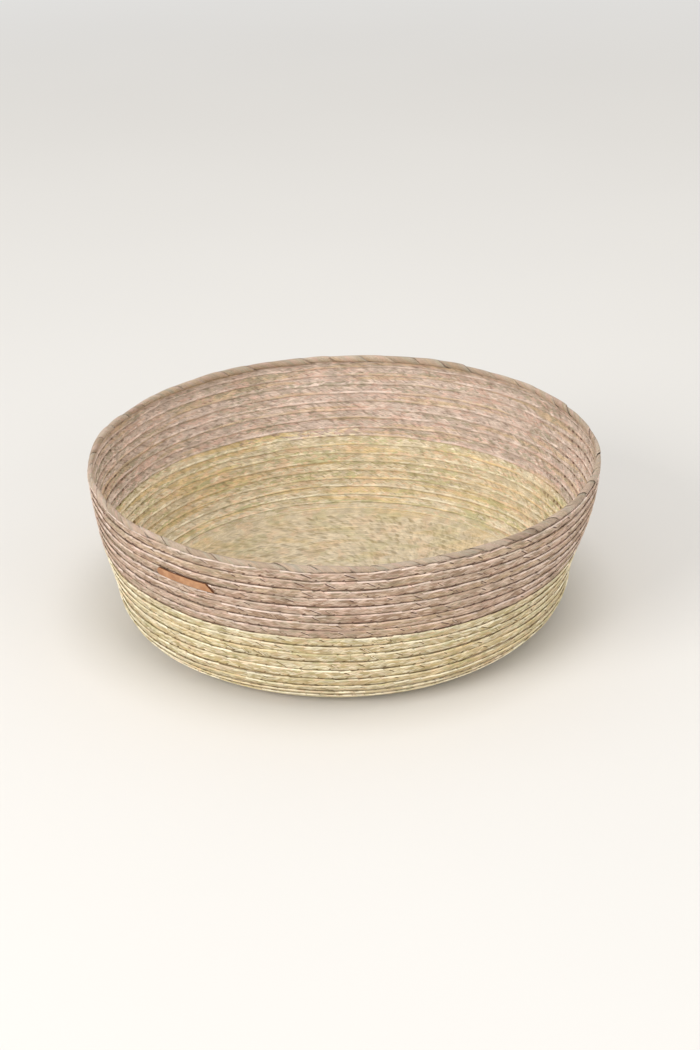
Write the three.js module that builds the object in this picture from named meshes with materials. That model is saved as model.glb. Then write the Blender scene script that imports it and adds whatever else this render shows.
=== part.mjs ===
// Round open basket, sewn up from one flat palm-leaf braid laid in a continuous spiral.
// The braid starts at the middle of the base, lies flat row by row, turns up round the corner and
// climbs the wall, where each row tucks behind the top edge of the row below it. The rim is a
// leaf core wound all round with a wide leaf strip, and a leather tag lies on one row of the wall.
// Millimetres, +Z up, origin on the floor under the basket's axis, front towards -Y.

import * as THREE from 'three';

// The basket's outer surface: a flat base, a round corner, and a wall that starts steep, leans out
// most at half height and stands up again under the rim
const BASE_FLAT_RADIUS = 108.7;
const CORNER_RADIUS = 27;
const CORNER_TURN_DEG = 82;
const WALL_TOP_RADIUS = 149.6;
const WALL_TOP_SLOPE_DEG = 83.5;
const OVERALL_HEIGHT = 99;
const COLOUR_LINE_HEIGHT = 51;

// The braid and the way its rows lie
const ROW_PITCH = 5.7;
const ROW_GAP = 0.55;
const BRAID_THICKNESS = 1.6;
const BASE_STEP = 0.8;
const WALL_LAP = 1.2;
const CENTRE_HOLE_RADIUS = 0.5;
const START_AZIMUTH_DEG = 100;
const LIFT_ROWS = 3;
const LAP_ROWS = 5;
const SPLICE_GAP = 0.6;

// The rim: a leaf core and the strip wound round it
const RIM_HEIGHT = 4.6;
const RIM_WIDTH = 5;
const STRIP_THICKNESS = 0.45;
const STRIP_CLEARANCE = 0.4;
const STRIP_GAP = 0.75;
const SEAT_GAP = 0.3;
const STRIP_COUNT = 3;
const WRAPS_PER_STRIP = 17;

// The leather tag
const TAG_LENGTH = 39;
const TAG_WIDTH = 5.2;
const TAG_THICKNESS = 1.2;
const TAG_SLANT = 4.5;
const TAG_HEIGHT = 76.5;
const TAG_AZIMUTH_DEG = -126.5;
// How far the tag's lower side lies above the leading edge of the row below
const TAG_RISE = 1.6;

// How finely the rows are stepped round the axis; the small turns at the middle take half as many
const STEPS_PER_TURN = 36;
const COARSE_STEPS_PER_TURN = 18;
const COARSE_TURNS = 5;
const RIM_SIDES = 8;
const TAG_END_STEPS = 4;
const LEAST_GAP = 0.4;
const ARC_TOLERANCE = 1e-4;
const TURN_TOLERANCE = 1e-3;

const TAU = 2 * Math.PI;
const rad = THREE.MathUtils.degToRad;
const lerp = THREE.MathUtils.lerp;

// Outer surface as a curve in the plane through the axis, radius across and height up

const WALL_TOP_HEIGHT = OVERALL_HEIGHT - RIM_HEIGHT - SEAT_GAP;
const CORNER_TURN = rad(CORNER_TURN_DEG);
const WALL_TOP_SLOPE = rad(WALL_TOP_SLOPE_DEG);

/** Unit vector in the plane through the axis, sloping up by an angle. */
function direction(slope) {
  return new THREE.Vector2(Math.cos(slope), Math.sin(slope));
}

/** The outer surface's outline from the axis to the top of the wall. */
function makeOutline() {
  const axis = new THREE.Vector2(0, 0);
  const flatEnd = new THREE.Vector2(BASE_FLAT_RADIUS, 0);
  const down = -Math.PI / 2;
  const corner = new THREE.ArcCurve(
    BASE_FLAT_RADIUS, CORNER_RADIUS, CORNER_RADIUS, down, down + CORNER_TURN,
  );
  const wallStart = corner.getPoint(1);
  const wallTop = new THREE.Vector2(WALL_TOP_RADIUS, WALL_TOP_HEIGHT);
  const third = wallStart.distanceTo(wallTop) / 3;
  const leave = wallStart.clone().addScaledVector(direction(CORNER_TURN), third);
  const arrive = wallTop.clone().addScaledVector(direction(WALL_TOP_SLOPE), -third);
  const path = new THREE.CurvePath();
  path.add(new THREE.LineCurve(axis, flatEnd));
  path.add(corner);
  path.add(new THREE.CubicBezierCurve(wallStart, leave, arrive, wallTop));
  return path;
}

const OUTLINE = makeOutline();
const OUTLINE_LENGTH = OUTLINE.getLength();

/** Radius, height and slope of the outer surface at an arc length from the axis. */
function outline(arc) {
  const share = THREE.MathUtils.clamp(arc / OUTLINE_LENGTH, 0, 1);
  const point = OUTLINE.getPointAt(share);
  const tangent = OUTLINE.getTangentAt(share);
  return { r: point.x, z: point.y, slope: Math.atan2(tangent.y, tangent.x) };
}

/** Arc length from the axis at which the wall's outer surface reaches a height. */
function arcAtHeight(z) {
  let low = BASE_FLAT_RADIUS;
  let high = OUTLINE_LENGTH;
  while (high - low > ARC_TOLERANCE) {
    const middle = (low + high) / 2;
    if (outline(middle).z < z) {
      low = middle;
    } else {
      high = middle;
    }
  }
  return (low + high) / 2;
}

/** Point in the plane through the axis, a depth inside the outer surface. */
function atDepth(arc, depth) {
  const { r, z, slope } = outline(arc);
  return { r: r - depth * Math.sin(slope), z: z + depth * Math.cos(slope) };
}

// The rows: how far the spiral has come, and the braid's cross-section there

const ROW_HALF = (ROW_PITCH - ROW_GAP) / 2;
const ROW_TILT = Math.asin((BRAID_THICKNESS + ROW_GAP) / ROW_PITCH);
const BRAID_WIDTH = (ROW_PITCH + WALL_LAP) / Math.cos(ROW_TILT);
const EDGE_ALONG = BRAID_THICKNESS * Math.sin(ROW_TILT);
const EDGE_DEPTH = BRAID_THICKNESS * Math.cos(ROW_TILT);
const TUCK_DEPTH = BRAID_WIDTH * Math.sin(ROW_TILT);
const LAPPED_REACH = (ROW_PITCH + WALL_LAP - EDGE_ALONG) / 2;
const WALL_DEPTH = TUCK_DEPTH + EDGE_DEPTH;

const START_ARC = CENTRE_HOLE_RADIUS + ROW_HALF;
const START_AZIMUTH = rad(START_AZIMUTH_DEG);
// The inner corner of the last leading edge is the wall's highest point
const WALL_TOP_ARC = OUTLINE_LENGTH - EDGE_DEPTH * Math.cos(WALL_TOP_SLOPE);
const TAPER_START = (WALL_TOP_ARC - LAPPED_REACH - EDGE_ALONG - START_ARC) / ROW_PITCH;

const BASE_END = wholeTurnsTo(BASE_FLAT_RADIUS);
const CORNER_END = wholeTurnsTo(BASE_FLAT_RADIUS + CORNER_RADIUS * CORNER_TURN);
const COLOUR_LINE = wholeTurnsTo(arcAtHeight(COLOUR_LINE_HEIGHT));
const WALL_END = TAPER_START + 1;

/** Whole number of turns at which the spiral comes closest to an arc length. */
function wholeTurnsTo(arc) {
  return Math.round((arc - START_ARC) / ROW_PITCH);
}

/** Arc length of the middle of the row after a number of turns. */
function arcAt(turns) {
  return START_ARC + ROW_PITCH * turns;
}

/** Azimuth after a number of turns; the spiral runs clockwise, seen from above. */
function azimuthAt(turns) {
  return START_AZIMUTH - TAU * turns;
}

/**
 * The braid's section after a number of turns, as four points of arc offset and depth: outer and
 * inner corner of the leading edge, then inner and outer corner of the trailing edge.
 * On the base the rows lie flat, edge to edge. Round the corner their trailing edges lift off the
 * outer surface, and then reach back behind the leading edge of the row before.
 */
function braidSection(turns) {
  const rowsPastBase = (arcAt(turns) - BASE_FLAT_RADIUS) / ROW_PITCH;
  const lift = THREE.MathUtils.smoothstep(rowsPastBase, 0, LIFT_ROWS);
  const lap = THREE.MathUtils.smoothstep(rowsPastBase, LIFT_ROWS, LIFT_ROWS + LAP_ROWS);
  const lead = lerp(ROW_HALF, LAPPED_REACH, lap);
  const leadEdge = lerp(0, EDGE_ALONG, lap);
  const trail = lerp(-ROW_HALF, LAPPED_REACH - ROW_PITCH - WALL_LAP, lap);
  const leadDepth = lerp(BRAID_THICKNESS, EDGE_DEPTH, lift);
  const trailDepth = lerp(0, TUCK_DEPTH, lift);
  const trailInner = lerp(BRAID_THICKNESS + BASE_STEP, WALL_DEPTH, lift);
  // The last turn tapers off from its leading edge, so that the wall ends level
  const trim = Math.max(0, turns - TAPER_START) * ROW_PITCH;
  const sink = trim * Math.tan(ROW_TILT);
  return [
    { along: lead - trim, depth: sink },
    { along: lead + leadEdge - trim, depth: leadDepth + sink },
    { along: trail + leadEdge, depth: trailInner },
    { along: trail, depth: trailDepth },
  ];
}

/** Steps per turn at a number of turns. */
function stepsAt(turns) {
  return turns < COARSE_TURNS ? COARSE_STEPS_PER_TURN : STEPS_PER_TURN;
}

/** Point on a row at one of the steps, from its arc offset and depth there. */
function stepPoint(turns, { along, depth }) {
  const { r, z } = atDepth(arcAt(turns) + along, depth);
  const azimuth = azimuthAt(turns);
  return new THREE.Vector3(r * Math.cos(azimuth), r * Math.sin(azimuth), z);
}

/** Point on a row anywhere: rows run straight from step to step, so they stay clear of each other. */
function rowPoint(turns, sectionPointAt) {
  const steps = stepsAt(turns);
  const before = Math.floor(turns * steps + TURN_TOLERANCE) / steps;
  const after = before + 1 / steps;
  const share = (turns - before) * steps;
  return stepPoint(before, sectionPointAt(before)).lerp(stepPoint(after, sectionPointAt(after)), share);
}

// Solids skinned over a row of like sections

/**
 * Closed solid over a list of rings, each with the same number of points. The ends are capped, or
 * joined to each other where the rings go all the way round. Faces are turned to point outwards.
 */
function skin(rings, closed = false) {
  const sides = rings[0].length;
  const indices = [];
  const quad = (a, b, c, d) => indices.push(a, b, c, a, c, d);
  const spans = closed ? rings.length : rings.length - 1;
  for (let i = 0; i < spans; i += 1) {
    const here = i * sides;
    const next = ((i + 1) % rings.length) * sides;
    for (let j = 0; j < sides; j += 1) {
      const k = (j + 1) % sides;
      quad(here + j, here + k, next + k, next + j);
    }
  }
  if (!closed) {
    const last = (rings.length - 1) * sides;
    for (let j = 1; j < sides - 1; j += 1) {
      indices.push(0, j + 1, j);
      indices.push(last, last + j, last + j + 1);
    }
  }
  const points = rings.flat();
  if (signedVolume(points, indices) < 0) {
    indices.reverse();
  }
  const geometry = new THREE.BufferGeometry().setFromPoints(points);
  geometry.setIndex(indices);
  geometry.computeVertexNormals();
  return geometry;
}

/** Volume inside a closed triangle mesh, negative where its faces point inwards. */
function signedVolume(points, indices) {
  let sum = 0;
  const cross = new THREE.Vector3();
  for (let i = 0; i < indices.length; i += 3) {
    cross.crossVectors(points[indices[i + 1]], points[indices[i + 2]]);
    sum += points[indices[i]].dot(cross) / 6;
  }
  return sum;
}

/** Numbers of turns from one end of a stretch of rows to the other, with every step between them. */
function turnsBetween(from, to) {
  const turns = [from];
  let next = Math.floor(from * stepsAt(from) + 1) / stepsAt(from);
  while (next < to - TURN_TOLERANCE) {
    if (next > from + TURN_TOLERANCE) {
      turns.push(next);
    }
    next += 1 / stepsAt(next);
  }
  turns.push(to);
  return turns;
}

/** Turns taken up by a length along the row. */
function turnsFor(length, turns) {
  return length / (TAU * outline(arcAt(turns)).r);
}

/** One stretch of braid, wound from one number of turns to another. */
function braid(from, to) {
  const rings = turnsBetween(from, to).map((turns) =>
    [0, 1, 2, 3].map((corner) => rowPoint(turns, (step) => braidSection(step)[corner])),
  );
  return skin(rings);
}

/** Least distance in the plane through the axis between a stretch's rows and the rows they pass. */
function leastRowGap(from, to) {
  let least = Infinity;
  for (let turns = from; turns + 1 <= to; turns += 0.5 / STEPS_PER_TURN) {
    const here = flatSection(turns);
    const next = flatSection(turns + 1);
    least = Math.min(least, polygonDistance(here, next), polygonDistance(next, here));
  }
  return least;
}

/** A row's section as points of radius and height. */
function flatSection(turns) {
  return [0, 1, 2, 3].map((corner) => {
    const point = rowPoint(turns, (step) => braidSection(step)[corner]);
    return new THREE.Vector2(Math.hypot(point.x, point.y), point.z);
  });
}

/** Least distance from one polygon's corners and edge middles to the other polygon's edges. */
function polygonDistance(polygon, other) {
  let least = Infinity;
  polygon.forEach((corner, i) => {
    const middle = corner.clone().lerp(polygon[(i + 1) % polygon.length], 0.5);
    other.forEach((start, j) => {
      const end = other[(j + 1) % other.length];
      least = Math.min(least, segmentDistance(corner, start, end), segmentDistance(middle, start, end));
    });
  });
  return least;
}

/** Distance from a point to a straight segment, in a plane. */
function segmentDistance(point, start, end) {
  const along = end.clone().sub(start);
  const share = THREE.MathUtils.clamp(point.clone().sub(start).dot(along) / along.lengthSq(), 0, 1);
  return point.distanceTo(start.clone().addScaledVector(along, share));
}

// The rim

const RIM_RADIUS = atDepth(WALL_TOP_ARC, WALL_DEPTH / 2).r;
const RIM_CENTRE_HEIGHT = OVERALL_HEIGHT - RIM_HEIGHT / 2;
const WRAPS = STRIP_COUNT * WRAPS_PER_STRIP;
const WRAP_ANGLE = TAU / WRAPS;
// The sides of the eight-sided section stand clear by the same amount as its corners would
const SIDE_FACTOR = 1 / Math.cos(Math.PI / RIM_SIDES);

/** Point on the rim's eight-sided section, a distance inside its outer surface. */
function rimPoint(azimuth, side, inset) {
  const angle = (TAU * (side + 0.5)) / RIM_SIDES;
  const r = RIM_RADIUS + (RIM_WIDTH / 2 - inset) * SIDE_FACTOR * Math.cos(angle);
  const z = RIM_CENTRE_HEIGHT + (RIM_HEIGHT / 2 - inset) * SIDE_FACTOR * Math.sin(angle);
  return new THREE.Vector3(r * Math.cos(azimuth), r * Math.sin(azimuth), z);
}

/** The bundle of leaf that the rim strip is wound on, a closed ring. */
function rimCore() {
  const inset = STRIP_THICKNESS + STRIP_CLEARANCE;
  const rings = [];
  for (let step = 0; step < WRAPS; step += 1) {
    const azimuth = step * WRAP_ANGLE;
    const ring = [];
    for (let side = 0; side < RIM_SIDES; side += 1) {
      ring.push(rimPoint(azimuth, side, inset));
    }
    rings.push(ring);
  }
  return skin(rings, true);
}

const STRIP_HALF_ANGLE = WRAP_ANGLE / 2 - STRIP_GAP / (2 * RIM_RADIUS - RIM_WIDTH);

/**
 * One leaf strip wound round the core, each wrap beside the one before. The winding advances
 * clockwise, seen from above, while it climbs the outer face and goes down the inner one.
 */
function rimStrip(index) {
  const endTrim = STRIP_GAP / (RIM_HEIGHT - 2 * STRIP_THICKNESS);
  const firstSide = index * WRAPS_PER_STRIP * RIM_SIDES;
  const lastSide = firstSide + WRAPS_PER_STRIP * RIM_SIDES;
  const rings = [];
  for (let step = firstSide; step <= lastSide; step += 1) {
    // The last ring stops short of the next strip's first one
    rings.push(stripRing(step === lastSide ? lastSide - endTrim : step));
  }
  return skin(rings);
}

/** Cross-section of the wound strip at a number of sides along its winding. */
function stripRing(side) {
  const before = Math.floor(side);
  const corner = (offset, inset) => {
    const azimuthAtSide = (count) => offset - (count / RIM_SIDES) * WRAP_ANGLE;
    const start = rimPoint(azimuthAtSide(before), before % RIM_SIDES, inset);
    const end = rimPoint(azimuthAtSide(before + 1), (before + 1) % RIM_SIDES, inset);
    return start.lerp(end, side - before);
  };
  return [
    corner(-STRIP_HALF_ANGLE, 0),
    corner(STRIP_HALF_ANGLE, 0),
    corner(STRIP_HALF_ANGLE, STRIP_THICKNESS),
    corner(-STRIP_HALF_ANGLE, STRIP_THICKNESS),
  ];
}

/** Least distance from the points of one wrap's edge to the edge of the next wrap that faces it. */
function leastStripGap() {
  const facingCorners = [
    { here: 0, facing: 1 },
    { here: 3, facing: 2 },
  ];
  const nearest = new THREE.Vector3();
  let least = Infinity;
  for (let side = 0; side < RIM_SIDES; side += 1) {
    for (const { here, facing } of facingCorners) {
      const point = stripRing(side)[here];
      for (let step = side + 1; step < side + 2 * RIM_SIDES; step += 1) {
        const edge = new THREE.Line3(stripRing(step)[facing], stripRing(step + 1)[facing]);
        edge.closestPointToPoint(point, true, nearest);
        least = Math.min(least, nearest.distanceTo(point));
      }
    }
  }
  return least;
}

// The leather tag, which lies flat over the leading edge of one row of the wall

const TAG_AZIMUTH = rad(TAG_AZIMUTH_DEG);
const TAG_PHASE = THREE.MathUtils.euclideanModulo(START_AZIMUTH - TAG_AZIMUTH, TAU) / TAU;
const TAG_ROW = Math.round((arcAtHeight(TAG_HEIGHT) - START_ARC) / ROW_PITCH - TAG_PHASE);
const TAG_MIDDLE = TAG_ROW + TAG_PHASE;

/** Solid of the tag: one end rounded, the other cut on a slant, bent to the wall it lies on. */
function leatherTag() {
  const half = TAG_WIDTH / 2;
  const middle = LAPPED_REACH - ROW_PITCH + TAG_RISE + half;
  // How far past the tag's middle each side ends, and how wide it is, from the round end to the slant
  const stations = [];
  for (let i = 1; i <= TAG_END_STEPS; i += 1) {
    const angle = (i / TAG_END_STEPS) * (Math.PI / 2);
    const at = half * (1 - Math.cos(angle)) - TAG_LENGTH / 2;
    stations.push({ top: at, bottom: at, reach: half * Math.sin(angle) });
  }
  const straight = TAG_LENGTH - half - TAG_SLANT;
  for (let i = 1; i <= TAG_END_STEPS; i += 1) {
    const at = half - TAG_LENGTH / 2 + (straight * i) / TAG_END_STEPS;
    stations.push({ top: at, bottom: at, reach: half });
  }
  stations.push({ top: TAG_LENGTH / 2 - TAG_SLANT, bottom: TAG_LENGTH / 2, reach: half });
  const facePoint = (along, offset, clear) => {
    const turns = TAG_MIDDLE - turnsFor(offset, TAG_MIDDLE);
    return rowPoint(turns, () => ({ along, depth: -clear }));
  };
  const rings = stations.map(({ top, bottom, reach }) => [
    facePoint(middle + reach, top, SEAT_GAP + TAG_THICKNESS),
    facePoint(middle + reach, top, SEAT_GAP),
    facePoint(middle - reach, bottom, SEAT_GAP),
    facePoint(middle - reach, bottom, SEAT_GAP + TAG_THICKNESS),
  ]);
  return skin(rings);
}

// The assembly

/** Named piece with a material of its own. */
function piece(name, geometry, color, roughness) {
  const material = new THREE.MeshStandardMaterial({ color, roughness, metalness: 0 });
  const mesh = new THREE.Mesh(geometry, material);
  mesh.name = name;
  return mesh;
}

const NATURAL_LEAF = 0xd6c391;
const ROSE_LEAF = 0xc9ad9b;
const RIM_LEAF = 0xcdb7a5;
const TAN_LEATHER = 0xbf8157;
const LEAF_ROUGHNESS = 0.7;
const LEATHER_ROUGHNESS = 0.6;

const STRETCHES = [
  { name: 'base_braid', from: 0, to: BASE_END, color: NATURAL_LEAF },
  { name: 'corner_braid', from: BASE_END, to: CORNER_END, color: NATURAL_LEAF },
  { name: 'lower_wall_braid', from: CORNER_END, to: COLOUR_LINE, color: NATURAL_LEAF },
  { name: 'upper_wall_braid', from: COLOUR_LINE, to: WALL_END, color: ROSE_LEAF },
];

const basket = new THREE.Group();
for (const { name, from, to, color } of STRETCHES) {
  const start = from === 0 ? 0 : from + turnsFor(SPLICE_GAP, from);
  basket.add(piece(name, braid(start, to), color, LEAF_ROUGHNESS));
  const gap = leastRowGap(start, to);
  console.log(`${name}: ${(to - start).toFixed(2)} turns, least gap ${gap.toFixed(2)} mm`);
  if (gap < LEAST_GAP) {
    console.log(`${name}: rows closer than ${LEAST_GAP} mm`);
  }
}
basket.add(piece('rim_core', rimCore(), ROSE_LEAF, LEAF_ROUGHNESS));
for (let index = 0; index < STRIP_COUNT; index += 1) {
  basket.add(piece(`rim_strip_${index + 1}`, rimStrip(index), RIM_LEAF, LEAF_ROUGHNESS));
}
console.log(`rim strips: ${WRAPS_PER_STRIP} wraps each, least gap ${leastStripGap().toFixed(2)} mm`);
basket.add(piece('leather_tag', leatherTag(), TAN_LEATHER, LEATHER_ROUGHNESS));

export default basket;
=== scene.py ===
"""The looks of a round basket sewn up from one flat palm-leaf plait.

The plait runs in a spiral from the middle of the base, turns up round the corner and climbs the
wall, each row tucked behind the top edge of the row below. The rim is a bundle of leaf bound with
wide strips, and a leather tag lies on one row. Everything is in metres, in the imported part's
frame. Only the pattern map and the node groups that read it count in millimetres.
"""

import logging
import math
from dataclasses import dataclass, field
from enum import Enum

import bpy
import numpy as np
from mathutils import Matrix, Vector


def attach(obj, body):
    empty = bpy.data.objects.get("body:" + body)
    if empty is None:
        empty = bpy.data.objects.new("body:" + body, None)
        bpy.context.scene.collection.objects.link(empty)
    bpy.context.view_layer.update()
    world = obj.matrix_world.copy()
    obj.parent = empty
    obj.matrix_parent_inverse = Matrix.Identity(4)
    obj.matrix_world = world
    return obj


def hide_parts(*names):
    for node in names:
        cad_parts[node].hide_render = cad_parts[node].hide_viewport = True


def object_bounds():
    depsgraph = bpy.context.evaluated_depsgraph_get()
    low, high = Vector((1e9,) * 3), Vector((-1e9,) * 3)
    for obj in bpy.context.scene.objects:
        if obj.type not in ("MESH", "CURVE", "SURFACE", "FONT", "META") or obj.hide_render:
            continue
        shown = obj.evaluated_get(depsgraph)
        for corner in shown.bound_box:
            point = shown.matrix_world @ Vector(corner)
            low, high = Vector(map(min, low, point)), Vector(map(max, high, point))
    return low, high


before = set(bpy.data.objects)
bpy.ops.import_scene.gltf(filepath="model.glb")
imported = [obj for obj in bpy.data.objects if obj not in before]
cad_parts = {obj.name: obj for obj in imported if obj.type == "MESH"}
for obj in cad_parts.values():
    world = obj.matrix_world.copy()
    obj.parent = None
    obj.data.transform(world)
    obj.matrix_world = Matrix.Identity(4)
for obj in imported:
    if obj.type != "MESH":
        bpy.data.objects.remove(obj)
CAD_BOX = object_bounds()

LOG = logging.getLogger("basket")
MM = 0.001
TAU = 2 * math.pi
BODY = "root"
BAKE_MAP = "OFBake"
PLAIT_MAP = "plait"
# On the pattern map: how long one wrap of the rim strip is, and where the dark slivers of painted
# shadow beside strand ends lie across
WRAP_MAP = 24.0
SLIT_SHADOW_MAP = 50.0
# Across the rim strip, where its upper edge is, in millimetres
RIM_SEAM = -10.7
# On the bake map: how much the rows of sides take, the margin of each, and the spot of the caps
BAKE_USED = 0.98
BAKE_MARGIN = 0.04
CAP_MIDDLE = 0.995
CAP_RADIUS = 0.004
# The long patches of other hues, and how long they are, in millimetres
PATCHES = {"First": 90.0, "Second": 42.0, "Third": 24.0}
# Height at which the rose leaf is spliced on, and how far before and after that its strands start
COLOUR_LINE_HEIGHT = 51 * MM
SPLICE_HALF = 70 * MM
# From the frame's box to the middle of the rim, inwards and down
RIM_IN = 1.7 * MM
RIM_DOWN = 2.1 * MM
# Turns from which the natural leaf has loose ends, and before the last turn when the rose has none
ENDS_FROM = 26.5
ENDS_BELOW = 1.2

Number = np.ndarray | float
Colour = tuple[float, float, float, float]
# Wavelength and size of each wave
Waves = tuple[tuple[float, float], ...]
Socket = bpy.types.NodeSocket


class Slot(Enum):
    """The record's material slots."""

    NATURAL = "natural_leaf"
    ROSE = "rose_leaf"
    RIM = "rim_leaf"
    LEATHER = "tan_leather"


def leaf_colour(red: int, green: int, blue: int) -> Colour:
    """Turns a colour as a screen shows it into the linear one that shaders take.

    Args:
        red: Red, from 0 to 255.
        green: Green, from 0 to 255.
        blue: Blue, from 0 to 255.

    Returns:
        Linear red, green, blue and full alpha.
    """
    channels = [((value / 255 + 0.055) / 1.055) ** 2.4 for value in (red, green, blue)]
    return (channels[0], channels[1], channels[2], 1.0)


def smooth(value: Number, low: float, high: float) -> np.ndarray:
    """Rises smoothly from 0 at low to 1 at high.

    Args:
        value: Where to read it.
        low: Value up to which it is 0.
        high: Value from which it is 1.

    Returns:
        The share at each value.
    """
    share = np.clip((np.asarray(value, float) - low) / (high - low), 0.0, 1.0)
    return share * share * (3 - 2 * share)


def mix(first: Number, second: Number, share: Number) -> np.ndarray:
    """Blends two values by a share of the second one."""
    return np.asarray(first + (second - first) * share)


@dataclass(frozen=True)
class Wander:
    """Smooth seeded variation along a length, which repeats only after thousands of knots.

    Attributes:
        spacing: Distance between knots.
        size: Most that it departs from nought.
        seed: Seed of its random numbers.
        knots: How many knots it has before it repeats.
    """

    spacing: float
    size: float
    seed: int
    knots: int = 4096

    def at(self, place: np.ndarray) -> np.ndarray:
        """Reads the variation.

        Args:
            place: Lengths along the row, or angles if the spacing is one.

        Returns:
            The variation at each place.
        """
        values = np.random.default_rng(self.seed).uniform(-1, 1, self.knots)
        cell = np.floor(place / self.spacing).astype(int)
        share = smooth(place / self.spacing - cell, 0.0, 1.0)
        return self.size * mix(values[cell % self.knots], values[(cell + 1) % self.knots], share)


def ring_wander(waves: int, size: float, seed: int) -> Wander:
    """Variation round the axis, by angle, that closes on itself after one turn."""
    return Wander(TAU / waves, size, seed, waves)


@dataclass(frozen=True)
class Bulge:
    """A place where the wall stands out a little, or in.

    Attributes:
        azimuth: Its azimuth.
        height: Its height.
        out: How far it stands out; negative where it stands in.
        wide: Angle over which it fades.
        tall: Height over which it fades.
    """

    azimuth: float
    height: float
    out: float
    wide: float = math.radians(38)
    tall: float = 24 * MM


@dataclass(frozen=True)
class HandmadeShape:
    """How far the whole basket departs from a true round, alike for every piece.

    Attributes:
        height: Height at which it departs most.
        across: Most that the rim moves outwards or inwards.
        up: Most that the rim rises or sinks.
        ripple: Most that it does so in short waves.
        waves: Knots round the basket of the moves outwards, of those upwards, and of the short
            waves of both.
        seed: Seed of its random numbers.
        bulges: Where the wall stands out.
    """

    height: float
    across: float = 0.7 * MM
    up: float = 0.5 * MM
    ripple: float = 0.4 * MM
    waves: tuple[int, int, int, int] = (7, 6, 47, 38)
    seed: int = 11
    bulges: tuple[Bulge, ...] = (
        Bulge(math.radians(180), 52 * MM, 2.6 * MM),
        Bulge(math.radians(-145), 16 * MM, 1.5 * MM, math.radians(25), 18 * MM),
        Bulge(math.radians(8), 72 * MM, 1.2 * MM, math.radians(38), 18 * MM),
        Bulge(math.radians(-10), 36 * MM, -2.0 * MM, math.radians(40), 24 * MM),
        Bulge(math.radians(-42), 16 * MM, -3.5 * MM, math.radians(30), 22 * MM),
    )

    def settle(self, points: np.ndarray) -> np.ndarray:
        """Moves points from the true round to the hand-made one.

        Args:
            points: Points, with the last axis x, y and z.

        Returns:
            The moved points.
        """
        azimuth = np.arctan2(points[..., 1], points[..., 0])
        radius = np.hypot(points[..., 0], points[..., 1])
        share = np.clip(points[..., 2] / self.height, 0.0, 1.2)
        out_waves, up_waves, out_ripples, up_ripples = self.waves
        out = ring_wander(out_waves, self.across, self.seed).at(azimuth) * share
        out = out + ring_wander(out_ripples, self.ripple, self.seed + 2).at(azimuth) * share**2
        up = ring_wander(up_waves, self.up, self.seed + 1).at(azimuth) * share**2
        up = up + ring_wander(up_ripples, self.ripple, self.seed + 3).at(azimuth) * share**4
        for bulge in self.bulges:
            turn = np.angle(np.exp(1j * (azimuth - bulge.azimuth))) / bulge.wide
            rise = (points[..., 2] - bulge.height) / bulge.tall
            out = out + bulge.out * np.exp(-(turn**2) - rise**2)
        grown = 1 + out / np.maximum(radius, 1 * MM)
        height = np.maximum(points[..., 2] + up, 0.0)
        return np.stack([points[..., 0] * grown, points[..., 1] * grown, height], -1)


@dataclass(frozen=True)
class Outline:
    """The basket's outer surface in the plane through its axis, as arc length, radius and height.

    Attributes:
        flat_radius: Radius of the flat base.
        corner_radius: Radius of the round corner.
        corner_turn: Angle that the corner turns up by.
        top_radius: Radius of the top of the wall.
        top_slope: Slope of the wall there.
        top_height: Height of the top of the wall.
        samples: Points on each of its curves.
        table: Arc lengths, radii, heights and slopes of its points, by name.
    """

    flat_radius: float = 108.7 * MM
    corner_radius: float = 27 * MM
    corner_turn: float = math.radians(82)
    top_radius: float = 149.6 * MM
    top_slope: float = math.radians(83.5)
    top_height: float = 94.1 * MM
    samples: int = 400
    table: dict[str, np.ndarray] = field(default_factory=dict)

    def __post_init__(self) -> None:
        """Works out the table of points."""
        turn = np.linspace(0, self.corner_turn, self.samples)
        corner_r = self.flat_radius + self.corner_radius * np.sin(turn)
        corner_z = self.corner_radius * (1 - np.cos(turn))
        start = np.array([corner_r[-1], corner_z[-1]])
        end = np.array([self.top_radius, self.top_height])
        third = np.linalg.norm(end - start) / 3
        leave = start + third * np.array([math.cos(self.corner_turn), math.sin(self.corner_turn)])
        arrive = end - third * np.array([math.cos(self.top_slope), math.sin(self.top_slope)])
        t = np.linspace(0, 1, self.samples)[1:, None]
        wall = start * (1 - t) ** 3 + 3 * leave * t * (1 - t) ** 2
        wall = wall + 3 * arrive * t**2 * (1 - t) + end * t**3
        r = np.concatenate([[0.0], corner_r, wall[:, 0]])
        z = np.concatenate([[0.0], corner_z, wall[:, 1]])
        arc = np.concatenate([[0.0], np.cumsum(np.hypot(np.diff(r), np.diff(z)))])
        slope = np.arctan2(np.gradient(z, arc), np.gradient(r, arc))
        self.table.update(arc=arc, r=r, z=z, slope=slope)

    @property
    def length(self) -> float:
        """Arc length from the axis to the top of the wall."""
        return float(self.table["arc"][-1])

    @property
    def wall_arc(self) -> float:
        """Arc length from the axis to the end of the corner, where the wall starts."""
        return self.flat_radius + self.corner_radius * self.corner_turn

    def at_depth(self, arc: np.ndarray, depth: np.ndarray) -> tuple[np.ndarray, np.ndarray]:
        """Finds points a depth inside the outer surface.

        Args:
            arc: Arc lengths from the axis.
            depth: Depths inside the surface.

        Returns:
            Their radii and heights.
        """
        table = self.table
        over = np.maximum(arc - self.length, 0.0)
        r = np.interp(arc, table["arc"], table["r"]) + over * math.cos(self.top_slope)
        z = np.interp(arc, table["arc"], table["z"]) + over * math.sin(self.top_slope)
        slope = np.interp(arc, table["arc"], table["slope"])
        return r - depth * np.sin(slope), z + depth * np.cos(slope)

    def arc_at_height(self, z: float) -> float:
        """Arc length from the axis at which the wall reaches a height."""
        return float(np.interp(z, self.table["z"][1:], self.table["arc"][1:]))


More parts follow.
